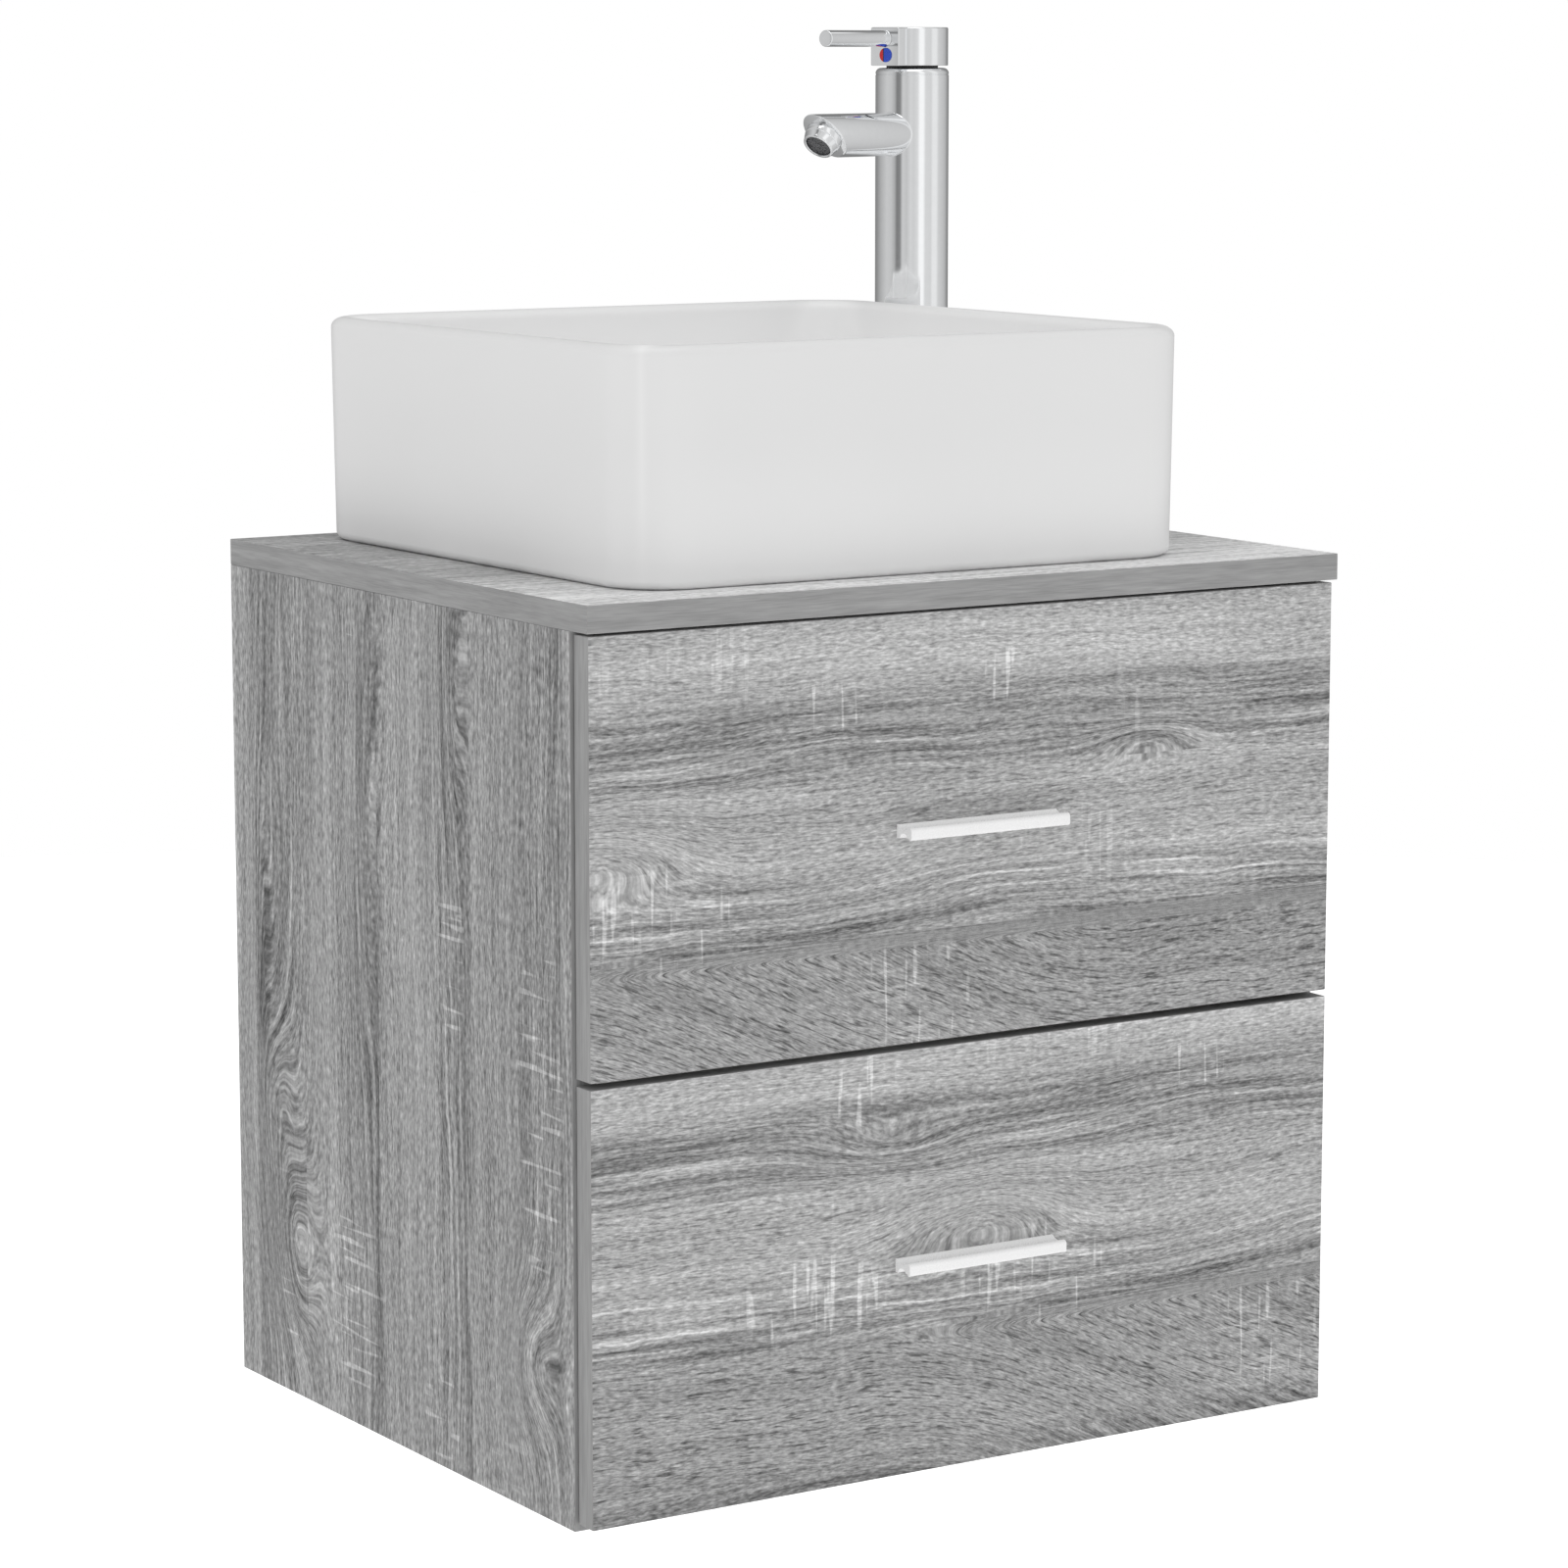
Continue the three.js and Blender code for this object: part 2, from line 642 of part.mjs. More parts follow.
function addLeverCap(group, capBottom, hollowTop) {
  const edge = 0.75;
  const block = new THREE.ExtrudeGeometry(capOutline(), {
    depth: capHeight - 2 * edge,
    bevelThickness: edge,
    bevelSize: edge,
    bevelOffset: -edge,
    bevelSegments: 2,
  }).translate(0, 0, capBottom + edge);
  const hollow = disc(19.5, capBottom - 1, hollowTop);
  const heelRelief = boxBetween([0, 60], [-40, 40], [-30, 0]);
  heelRelief.rotateY(-capTilt).translate(leverPinX + 3, 0, capBottom);
  addMesh('lever_cap', cut(block, hollow, heelRelief), chrome, group);
}

function addLever(group) {
  const capBottom = tapBodyTop + capGap;
  const capTop = capBottom + capHeight;
  const hollowTop = capTop - 8;
  addCartridge(group, capBottom);
  addLeverCap(group, capBottom, hollowTop);

  const stemDepth = [leverPinX - 3.3, leverPinX + 3.3];
  const stemHeights = [capBottom + 0.5, hollowTop - looseGap];
  const stem = boxBetween(stemDepth, [-3.5, 3.5], stemHeights);
  addMesh('lever_stem', cut(stem, pinRod(1.5 + looseGap, 20, capBottom)), zincSteel, group);

  const noseFace = -capNoseReach - looseGap;
  const leverHeight = capTop - leverDrop;
  const flareRadius = 0.4;
  const flare = arc(leverRadius + flareRadius, flareRadius, flareRadius, 270, 180, 3);
  const rodLength = leverReach + noseFace;
  const rod = turned([
    [0, 0], ...flare, [leverRadius, rodLength - 0.5], [leverRadius - 0.5, rodLength], [0, rodLength],
  ], 24);
  addMesh('lever_rod', rod.rotateY(-Math.PI / 2).translate(noseFace, 0, leverHeight), chrome, group);

  const dot = disc(4.4, 0, 0.8, 24).rotateY(-Math.PI / 2);
  addMesh('temperature_dot', dot.translate(noseFace, -1, capBottom + 6.5), dotBlue, group);
}

// ---------------------------------------------------------------- assembly

addCabinet();
addHangers();
addUpperDrawer();
addLowerDrawer();
addRunners('upper', upperBoxBottom + upperBoxHeight / 2);
addRunners('lower', lowerBoxBottom + lowerBoxHeight / 2);
addBasin();
addWaste();
addTrap();
addTap();
vanity.position.z = -originHeight;

export default vanity;
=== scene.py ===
"""Looks for the wall-hung washbasin vanity: grey oak cabinet, glazed basin and chrome tap.

Metres, in the row frame: X to the right, Y towards the wall, Z up. The origin is the centre of
the upper rear rail's back face.
"""
import json
import math

import bmesh
import bpy
from mathutils import Matrix, Vector


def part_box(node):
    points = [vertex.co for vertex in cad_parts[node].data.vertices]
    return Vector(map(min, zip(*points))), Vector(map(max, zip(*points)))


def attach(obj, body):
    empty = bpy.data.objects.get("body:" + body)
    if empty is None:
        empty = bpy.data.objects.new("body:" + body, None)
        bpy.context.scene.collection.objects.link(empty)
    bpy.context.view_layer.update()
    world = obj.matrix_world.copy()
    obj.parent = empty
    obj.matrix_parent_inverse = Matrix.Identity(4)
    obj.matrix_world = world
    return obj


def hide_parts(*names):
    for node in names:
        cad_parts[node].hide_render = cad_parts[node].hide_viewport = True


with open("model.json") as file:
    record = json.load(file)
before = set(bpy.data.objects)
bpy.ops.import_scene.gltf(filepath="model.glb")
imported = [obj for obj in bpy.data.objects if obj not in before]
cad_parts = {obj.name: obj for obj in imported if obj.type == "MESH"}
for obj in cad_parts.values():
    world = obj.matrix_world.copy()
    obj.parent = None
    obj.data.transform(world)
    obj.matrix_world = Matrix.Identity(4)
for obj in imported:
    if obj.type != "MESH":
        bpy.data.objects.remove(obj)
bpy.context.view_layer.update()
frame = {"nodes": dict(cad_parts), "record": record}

MM = 0.001
BODY_OF = {node: body for body, nodes in frame["record"]["behaviour"]["bodies"].items() for node in nodes}

SLOT_OF = {part["node"]: part["material_slot"] for part in frame["record"]["subparts"]}

# Places in the row frame.
TOP_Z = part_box("countertop")[1].z
FLOOR_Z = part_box("bottom_panel")[0].z - 0.35
BASIN_CENTRE = (-0.0145, -0.19825)
TAP_X, TAP_Y = 0.20625, -0.0405
TAP_TURN = math.radians(20)

# Camera, angles in degrees.
CAMERA_PLACE = (-1.525, -2.609, 0.336)
CAMERA_DOWN = 8.5
CAMERA_HEADING = -32.51
CAMERA_LENS = 113.4

# Light. Reflections see the panels and the strips in place of the even wall light.
BACKDROP = 1.0
WALL_LIGHT = 0.80
FLOOR_GLOW = 0.45
OVERHEAD_POWER = 12
MIRROR_GAIN = 1.06
STRIP_AIM = (15.0, 0.60)  # two white strips, above and below: compass angle and height of the direction
STRIP_SIZE = (11.0, 0.05)
STUDIO_PANELS = (  # compass angle in degrees, brightness
    (-180, 0.42), (-172, 0.20), (-161, 0.24), (-153, 0.60), (-140, 0.54), (-128, 0.66), (-118, 0.62),
    (-106, 0.70), (-99, 0.95), (-88, 0.95), (-80, 0.68), (-62, 0.66), (-54, 0.80), (-40, 0.80),
    (-30, 0.62), (-10, 0.54), (5, 0.46), (25, 0.24), (60, 0.20), (95, 0.26), (125, 0.44), (150, 0.58),
    (168, 0.55), (180, 0.42),
)


# ---------------------------------------------------------------- node graphs

class Graph:
    """A material and short calls that add nodes to it."""

    def __init__(self, name):
        self.material = bpy.data.materials.new(name)
        self.material.use_nodes = True
        self.tree = self.material.node_tree
        self.shader = self.tree.nodes["Principled BSDF"]

    def plug(self, socket, value):
        if isinstance(value, bpy.types.NodeSocket):
            self.tree.links.new(value, socket)
        else:
            socket.default_value = value

    def add(self, kind, inputs=(), **settings):
        node = self.tree.nodes.new(kind)
        for name, value in settings.items():
            setattr(node, name, value)
        for key, value in dict(inputs).items():
            self.plug(node.inputs[key], value)
        return node

    def math(self, operation, a, b=0.0, clamp=False):
        return self.add("ShaderNodeMath", {0: a, 1: b}, operation=operation, use_clamp=clamp).outputs[0]

    def total(self, *values):
        result = values[0]
        for value in values[1:]:
            result = self.math("ADD", result, value)
        return result

    def times(self, a, b):
        return self.math("MULTIPLY", a, b)

    def ramp(self, value, low, high, to_low=0.0, to_high=1.0):
        inputs = {"Value": value, "From Min": low, "From Max": high, "To Min": to_low, "To Max": to_high}
        return self.add("ShaderNodeMapRange", inputs, interpolation_type="SMOOTHSTEP").outputs[0]

    def curve(self, value, stops):
        """A smooth run through (position, level) stops."""
        first, last = stops[0][0], stops[-1][0]
        inputs = {"Value": value, "From Min": first, "From Max": last}
        fraction = self.add("ShaderNodeMapRange", inputs).outputs[0]
        node = self.add("ShaderNodeValToRGB", {0: fraction})
        points = node.color_ramp.elements
        while len(points) < len(stops):
            points.new(0.5)
        for point, (position, level) in zip(points, stops):
            point.position = (position - first) / (last - first)
        low = min(level for _, level in stops)
        high = max(level for _, level in stops) + 1e-6
        for point, (_, level) in zip(points, stops):
            grey = (level - low) / (high - low)
            point.color = (grey, grey, grey, 1.0)
        spread = {"Value": node.outputs[0], "To Min": low, "To Max": high}
        return self.add("ShaderNodeMapRange", spread).outputs[0]

    def place(self):
        """The point's X, Y and Z in the row frame."""
        point = self.add("ShaderNodeTexCoord").outputs["Object"]
        return self.add("ShaderNodeSeparateXYZ", {0: point}).outputs[:3]

    def noise(self, x, y, scale_x, scale_y, seed=0.0, detail=2.0, roughness=0.5):
        """2-D noise about 0.5, with its own number of cells per metre each way."""
        vector = self.add("ShaderNodeCombineXYZ", {
            0: self.times(x, scale_x), 1: self.times(y, scale_y), 2: seed,
        }).outputs[0]
        inputs = {"Vector": vector, "Scale": 1.0, "Detail": detail, "Roughness": roughness}
        return self.add("ShaderNodeTexNoise", inputs, noise_dimensions="3D").outputs[0]

    def speckle(self, scale, detail=2.0):
        point = self.add("ShaderNodeTexCoord").outputs["Object"]
        inputs = {"Vector": point, "Scale": scale, "Detail": detail}
        return self.add("ShaderNodeTexNoise", inputs, noise_dimensions="3D").outputs[0]

    def blend(self, amount, low, high):
        """Mixes two colours."""
        node = self.add("ShaderNodeMix", data_type="RGBA")
        self.plug(node.inputs[0], amount)
        self.plug(node.inputs[6], low)
        self.plug(node.inputs[7], high)
        return node.outputs[2]

    def grey(self, value):
        return self.add("ShaderNodeCombineColor", {0: value, 1: value, 2: value}).outputs[0]

    def bump(self, height, distance, strength=1.0):
        node = self.add("ShaderNodeBump", {"Height": height, "Distance": distance, "Strength": strength})
        self.plug(self.shader.inputs["Normal"], node.outputs[0])

    def set(self, **inputs):
        for key, value in inputs.items():
            self.plug(self.shader.inputs[key.replace("_", " ")], value)
        return self.material


# ---------------------------------------------------------------- wood

def bell(g, u, v, middle, reach):
    """1 at the middle, falling softly to 0 over the reach each way."""
    du = g.math("DIVIDE", g.math("SUBTRACT", u, middle[0]), reach[0])
    dv = g.math("DIVIDE", g.math("SUBTRACT", v, middle[1]), reach[1])
    square = g.total(g.times(du, du), g.times(dv, dv))
    return g.math("EXPONENT", g.times(square, -1.0))


def stripe(g, position, middle, width):
    """A soft line across the grain, 1 in its middle."""
    offset = g.math("DIVIDE", g.math("SUBTRACT", position, middle), width)
    return g.math("EXPONENT", g.times(g.times(offset, offset), -1.0))


def saw_marks(g, u, v, seed, patches):
    """Light scratches across the grain, and some along it, inside soft patches."""
    where = g.ramp(g.noise(u, v, 7.0, 10.0, seed + 31.0, detail=1.0), 0.62, 0.72, 0.0, 0.45)
    for middle, reach in patches:
        where = g.math("MAXIMUM", where, g.ramp(bell(g, u, v, middle, reach), 0.30, 0.55))
    cuts = g.ramp(g.noise(u, v, 230.0, 16.0, seed + 37.0, detail=1.0), 0.57, 0.66)
    rows = g.ramp(g.noise(u, v, 22.0, 300.0, seed + 41.0, detail=1.0), 0.60, 0.69)
    return g.times(where, g.math("MAXIMUM", cuts, g.times(rows, 0.6)))


def oak(name, along, across, seed, pattern):
    """Grey rough-sawn oak print.

    along and across are (axis, sign, offset): the print's own u runs along the grain and v across
    it. The pattern's lists are in metres of u and v, and tones are display greys from 0 to 1.
    """
    g = Graph(name)
    point = g.place()
    u, v = [g.math("ADD", g.times(point[axis], sign), offset) for axis, sign, offset in (along, across)]

    strip = 0.0
    for edge in pattern["edges"]:
        strip = g.math("ADD", g.math("GREATER_THAN", v, edge), strip)
    u_own = g.math("ADD", u, g.times(strip, 3.7))
    v_own = g.math("ADD", v, g.times(strip, 1.3))

    slow = g.noise(u_own, v_own, 3.0, 7.0, seed, detail=1.0)
    quick = g.noise(u_own, v_own, 14.0, 30.0, seed + 3.0, detail=2.0)
    pushes = [g.times(bell(g, u, v, middle, reach), push) for middle, reach, push in pattern["knots"]]
    grain = g.total(v_own, g.times(slow, 0.030), g.times(quick, 0.006), *pushes)
    if "slant" in pattern:
        start, end, fall, low_edge, high_edge = pattern["slant"]
        slope = g.ramp(u, start, end, 0.0, -fall)
        grain = g.total(grain, g.times(slope, g.ramp(v, low_edge, high_edge)))

    fibres = g.noise(u_own, grain, 190.0, 900.0, seed + 23.0, detail=2.0, roughness=0.6)
    strokes = g.noise(u_own, grain, 62.0, 540.0, seed + 17.0, detail=2.0, roughness=0.5)
    streaks = g.noise(u_own, grain, 7.0, 260.0, seed + 11.0, detail=4.0, roughness=0.62)
    bands = g.noise(u_own, grain, 2.0, 55.0, seed + 7.0, detail=2.0)
    mottle = g.noise(u, v, 240.0, 330.0, seed + 29.0, detail=2.0)

    stroke_mask = g.ramp(strokes, 0.54, 0.66)
    fleck_mask = g.ramp(strokes, 0.40, 0.30)
    marks = saw_marks(g, u, v, seed, pattern["patches"])
    shade = g.total(
        g.curve(v, pattern["tone"]),
        g.times(g.math("SUBTRACT", fibres, 0.5), 0.62),
        g.times(g.math("SUBTRACT", mottle, 0.5), 0.22),
        g.times(g.math("SUBTRACT", streaks, 0.5), g.curve(v, pattern["streak"])),
        g.times(g.math("SUBTRACT", bands, 0.5), 0.20),
        g.times(stroke_mask, g.curve(v, pattern["stroke"])),
        g.times(fleck_mask, 0.045),
        g.times(marks, 0.15),
    )
    for middle, width, strength in pattern["lines"]:
        place = g.total(v, g.times(quick, 0.010), g.times(slow, 0.030), *pushes)
        broken = g.ramp(g.noise(u, v, 9.0, 60.0, seed + middle, detail=1.0), 0.36, 0.56)
        shade = g.total(shade, g.times(g.times(stripe(g, place, middle, width), broken), strength))
    for middle, reach, strength in pattern["blots"]:
        shade = g.total(shade, g.times(g.ramp(bell(g, u, v, middle, reach), 0.30, 0.42), strength))

    display = g.math("MINIMUM", g.math("MAXIMUM", shade, 0.22), 0.93)
    value = g.times(g.math("POWER", display, 2.2), pattern["gain"])
    g.set(Base_Color=g.grey(value), Roughness=g.ramp(strokes, 0.3, 0.8, 0.52, 0.68), Specular_IOR_Level=0.35)
    relief = g.total(g.times(stroke_mask, -1.0), g.times(fibres, 0.6), g.times(marks, 0.4))
    g.bump(relief, 0.10 * MM, 0.6)
    return g.material


def edge_band(name, along, across, seed, tone=1.0):
    """Edge tape: plain grey with fine straight streaks."""
    g = Graph(name)
    point = g.place()
    u, v = point[along], point[across]
    slow = g.noise(u, v, 14.0, 240.0, seed, detail=3.0, roughness=0.6)
    fine = g.noise(u, v, 60.0, 1500.0, seed + 5.0, detail=2.0)
    shade = g.total(
        g.times(g.math("SUBTRACT", slow, 0.5), 0.22),
        g.times(g.math("SUBTRACT", fine, 0.5), 0.16),
        0.30,
    )
    g.set(Base_Color=g.grey(g.times(shade, tone)), Roughness=0.45)
    g.bump(fine, 0.05 * MM, 0.5)
    return g.material


# ---------------------------------------------------------------- other materials

def ceramic():
    """White glaze with painted light: lighter in the bowl and towards the foot, to offset the shade where
    less light reaches it.
    """
    wall_tone, bowl_painted_light, foot_painted_light = 0.775, 0.115, 0.09
    g = Graph("glazed_ceramic")
    x, y, z = g.place()
    wave = g.speckle(14.0, 1.0)
    off_x = g.math("ABSOLUTE", g.math("SUBTRACT", x, BASIN_CENTRE[0]))
    off_y = g.math("ABSOLUTE", g.math("SUBTRACT", y, BASIN_CENTRE[1]))
    # Painted light: the bowl and foot masks lift the base colour where shade falls.
    bowl = g.ramp(g.math("MAXIMUM", off_x, off_y), 0.170, 0.178, 1.0, 0.0)
    foot = g.times(g.ramp(z, TOP_Z - 0.005, TOP_Z + 0.085, 1.0, 0.0), g.math("SUBTRACT", 1.0, bowl))
    cloud = g.times(g.math("SUBTRACT", wave, 0.5), 0.02)
    tone = g.total(wall_tone, g.times(bowl, bowl_painted_light), g.times(foot, foot_painted_light), cloud)
    g.set(Base_Color=g.grey(tone))
    g.set(Roughness=0.38, Specular_IOR_Level=0.25, Coat_Weight=0.12, Coat_Roughness=0.03, IOR=1.5)
    g.bump(wave, 0.15 * MM, 0.25)
    return g.material


def chrome():
    g = Graph("polished_chrome")
    haze = g.speckle(260.0, 3.0)
    g.set(Base_Color=g.blend(haze, (0.88, 0.89, 0.90, 1), (0.93, 0.94, 0.95, 1)), Metallic=1.0)
    g.set(Roughness=g.ramp(haze, 0.2, 0.9, 0.03, 0.07))
    return g.material


def zinc():
    g = Graph("zinc_steel")
    fine = g.speckle(900.0, 3.0)
    cloud = g.speckle(60.0, 2.0)
    g.set(Base_Color=g.blend(cloud, (0.42, 0.44, 0.46, 1), (0.62, 0.64, 0.66, 1)), Metallic=1.0)
    g.set(Roughness=g.ramp(fine, 0.3, 0.7, 0.28, 0.42))
    g.bump(fine, 0.02 * MM, 0.4)
    return g.material


def temperature_enamel():
    """Red on the hot side and blue on the cold side, with a dark line between."""
    g = Graph("temperature_enamel")
    blue, red = (0.02, 0.07, 0.55, 1), (0.62, 0.02, 0.03, 1)
    x, y, _ = g.place()
    side = g.total(
        g.times(g.math("SUBTRACT", x, TAP_X), -math.sin(TAP_TURN)),
        g.times(g.math("SUBTRACT", y, TAP_Y), math.cos(TAP_TURN)),
        -0.3 * MM,
    )
    edge = g.times(g.math("SUBTRACT", g.speckle(900.0), 0.5), 0.2 * MM)
    side = g.math("ADD", side, edge)
    both = g.blend(g.ramp(side, -0.1 * MM, 0.1 * MM), blue, red)
    line = g.ramp(g.math("ABSOLUTE", side), 0.25 * MM, 0.5 * MM)
    g.set(Base_Color=g.blend(line, (0.03, 0.03, 0.05, 1), both), Roughness=0.22)
    return g.material


def mesh_plastic():
    """Dark grey plastic with the fine round holes of an aerator, drawn as darker spots: painted shade in the
    holes.
    """
    g = Graph("aerator_mesh")
    point = g.add("ShaderNodeTexCoord").outputs["Object"]
    cells = g.add("ShaderNodeTexVoronoi", {"Vector": point, "Scale": 700.0}, feature="F1").outputs["Distance"]
    web = g.ramp(cells, 0.25, 0.5)
    # Painted shade: the colour is darker at each hole's centre.
    g.set(Base_Color=g.blend(web, (0.035, 0.035, 0.037, 1), (0.10, 0.10, 0.105, 1)), Roughness=0.45)
    g.bump(web, 0.3 * MM, 0.6)
    return g.material


def moulded(name, dark, light, roughness, grain=1400.0, depth=0.02):
    """Plastic, lacquer, laminate or rubber: a fine skin texture over a slightly clouded colour."""
    g = Graph(name)
    fine = g.speckle(grain, 2.0)
    cloud = g.speckle(40.0, 2.0)
    g.set(Base_Color=g.blend(cloud, (*dark, 1), (*light, 1)))
    g.set(Roughness=g.ramp(fine, 0.3, 0.7, roughness - 0.05, roughness + 0.05))
    g.bump(fine, depth * MM, 0.5)
    return g.material


FRONT_PATTERN = {
    "edges": (0.105, 0.193, 0.264),
    "tone": (
        (0.015, 0.66), (0.035, 0.70), (0.052, 0.69), (0.064, 0.60), (0.080, 0.57), (0.095, 0.60),
        (0.106, 0.66), (0.130, 0.67), (0.156, 0.67), (0.168, 0.61), (0.180, 0.58), (0.190, 0.54),
        (0.198, 0.59), (0.215, 0.58), (0.240, 0.60), (0.258, 0.61), (0.264, 0.55), (0.275, 0.50),
    ),
    "streak": ((0.02, 0.25), (0.055, 0.30), (0.066, 0.85), (0.098, 0.85), (0.108, 0.25), (0.150, 0.25),
               (0.166, 0.95), (0.190, 0.85), (0.196, 0.2), (0.262, 0.25), (0.268, 0.8)),
    "stroke": ((0.02, -0.06), (0.10, -0.08), (0.108, -0.13), (0.15, -0.10), (0.165, -0.04), (0.192, -0.04),
               (0.197, -0.17), (0.25, -0.19), (0.27, -0.05)),
    "knots": (
        ((0.008, 0.136), (0.052, 0.020), 0.027),
        ((0.362, 0.097), (0.034, 0.010), 0.0125),
        ((0.250, 0.185), (0.110, 0.030), 0.008),
        ((-0.060, 0.086), (0.050, 0.016), -0.013),
    ),
    "lines": (
        (0.189, 0.0008, 0.15), (0.196, 0.0009, 0.17), (0.203, 0.0008, 0.14), (0.181, 0.0007, 0.10),
        (0.098, 0.0009, -0.12), (0.112, 0.0010, -0.12), (0.105, 0.0007, 0.08),
    ),
    "blots": (((0.110, 0.186), (0.075, 0.006), -0.07), ((0.357, 0.0965), (0.019, 0.0052), -0.055)),
    "slant": (-0.08, 0.36, 0.15, 0.190, 0.200),
    "patches": (
        ((0.048, 0.170), (0.060, 0.030)), ((0.205, 0.228), (0.042, 0.034)),
        ((0.152, 0.064), (0.028, 0.014)), ((0.267, 0.055), (0.018, 0.016)),
        ((-0.105, 0.168), (0.050, 0.026)), ((-0.072, 0.055), (0.022, 0.022)),
    ),
    "gain": 1.0,
}
SIDE_PATTERN = {
    "edges": (0.025, 0.087, 0.179, 0.250, 0.287, 0.385),
    "tone": (
        (0.0, 0.62), (0.024, 0.61), (0.026, 0.51), (0.060, 0.54), (0.087, 0.58), (0.120, 0.60),
        (0.150, 0.58), (0.179, 0.52), (0.181, 0.59), (0.230, 0.60), (0.250, 0.60), (0.252, 0.54),
        (0.286, 0.55), (0.290, 0.60), (0.350, 0.58), (0.383, 0.54), (0.400, 0.58),
    ),
    "streak": ((0.0, 0.3), (0.024, 0.3), (0.030, 0.75), (0.085, 0.7), (0.095, 0.3), (0.145, 0.5),
               (0.178, 0.8), (0.185, 0.3), (0.245, 0.35), (0.255, 0.85), (0.286, 0.8), (0.292, 0.3),
               (0.340, 0.4), (0.383, 0.8)),
    "stroke": ((0.0, -0.06), (0.10, -0.09), (0.2, -0.09), (0.3, -0.10), (0.38, -0.06)),
    "knots": (
        ((0.330, 0.045), (0.060, 0.030), 0.040), ((0.410, 0.070), (0.050, 0.030), 0.045),
        ((0.230, 0.034), (0.090, 0.010), 0.012), ((0.060, 0.268), (0.100, 0.018), 0.020),
        ((0.130, 0.165), (0.120, 0.020), 0.018), ((0.420, 0.352), (0.040, 0.030), 0.034),
    ),
    "lines": (
        (0.060, 0.0009, 0.12), (0.070, 0.0008, 0.13), (0.081, 0.0009, 0.12), (0.092, 0.0008, 0.10),
        (0.283, 0.0008, 0.09), (0.290, 0.0008, -0.10), (0.296, 0.0008, 0.08), (0.193, 0.0009, -0.09),
        (0.395, 0.0009, 0.12), (0.403, 0.0008, 0.10),
    ),
    "blots": (((0.235, 0.036), (0.062, 0.009), -0.07), ((0.290, 0.165), (0.020, 0.006), -0.04)),
    "patches": (
        ((0.205, 0.265), (0.055, 0.016)), ((0.425, 0.148), (0.060, 0.034)), ((0.270, 0.362), (0.110, 0.026)),
        ((0.470, 0.250), (0.028, 0.022)), ((0.030, 0.160), (0.020, 0.020)), ((0.440, 0.070), (0.035, 0.016)),
    ),
    "gain": 0.989,
}
PLAIN_PATTERN = {
    "edges": (0.07, 0.16, 0.24, 0.33),
    "tone": ((0.0, 0.66), (0.06, 0.70), (0.075, 0.62), (0.15, 0.66), (0.17, 0.70), (0.23, 0.66), (0.25, 0.61),
             (0.32, 0.67), (0.35, 0.70), (0.415, 0.66)),
    "streak": ((0.0, 0.3), (0.065, 0.3), (0.08, 0.8), (0.15, 0.4), (0.22, 0.3), (0.25, 0.8),
               (0.30, 0.5), (0.41, 0.3)),
    "stroke": ((0.0, -0.10), (0.2, -0.08), (0.41, -0.12)),
    "knots": (((0.11, 0.12), (0.05, 0.02), 0.026), ((0.40, 0.30), (0.04, 0.015), 0.020)),
    "lines": ((0.118, 0.0009, 0.12), (0.126, 0.0008, -0.10), (0.300, 0.0009, 0.10)),
    "blots": (),
    "patches": (((0.20, 0.39), (0.05, 0.02)), ((0.44, 0.22), (0.03, 0.04)), ((0.08, 0.06), (0.03, 0.03))),
    "gain": 1.0,
}
TOP_GRAIN_AND_PAINTED_SHEEN = dict(
    PLAIN_PATTERN,
    # The tone climbs from 0.62 to 0.88 towards the front edge: painted sheen, the top's grazing-angle shine
    # put into its colour; the rest is grain.
    tone=((0.0, 0.62), (0.06, 0.66), (0.10, 0.61), (0.17, 0.66), (0.24, 0.64), (0.29, 0.73), (0.34, 0.82),
          (0.385, 0.88), (0.400, 0.87), (0.415, 0.84)),
    streak=((0.0, 0.6), (0.2, 0.9), (0.3, 0.8), (0.415, 0.7)),
)
UPPER_FRONT_OAK = oak("oak_upper_front", (0, 1, 0.2475), (2, -1, 0.050), 2.0, FRONT_PATTERN)
LOWER_FRONT_OAK = oak("oak_lower_front", (0, 1, 0.0005), (2, -1, -0.172), 2.0, FRONT_PATTERN)
SIDE_OAK = oak("oak_sides", (2, -1, 0.050), (1, -1, 0.0), 11.0, SIDE_PATTERN)
TOP_OAK = oak("oak_top", (0, 1, 0.2475), (1, -1, 0.0), 23.0, TOP_GRAIN_AND_PAINTED_SHEEN)
INNER_OAK = oak("oak_inner", (0, 1, 0.2475), (1, -1, 0.0), 37.0, PLAIN_PATTERN)
RAIL_OAK = oak("oak_rails", (0, 1, 0.2475), (2, -1, 0.1), 41.0, PLAIN_PATTERN)
BAND_X = edge_band("band_along_x", 0, 2, 3.0)
BAND_Y = edge_band("band_along_y", 1, 2, 5.0)
BAND_Z = edge_band("band_along_z", 2, 0, 7.0)
BAND_Z_SIDE = edge_band("band_along_z_side", 2, 1, 9.0)
CERAMIC = ceramic()
CHROME = chrome()
ZINC = zinc()
LACQUER = moulded("white_lacquer", (0.86, 0.86, 0.86), (0.90, 0.90, 0.90), 0.28)
DRAWER_WHITE = moulded("white_laminate", (0.70, 0.70, 0.69), (0.76, 0.76, 0.75), 0.5, 700.0, 0.05)
RUBBER = moulded("black_rubber", (0.015, 0.015, 0.016), (0.03, 0.03, 0.032), 0.75)
WHITE_PLASTIC = moulded("white_plastic", (0.74, 0.74, 0.74), (0.80, 0.80, 0.80), 0.32)
DOT_ENAMEL = temperature_enamel()
MESH_PLASTIC = mesh_plastic()
GREY_PLASTIC = moulded("grey_plastic", (0.03, 0.03, 0.032), (0.06, 0.06, 0.062), 0.4)


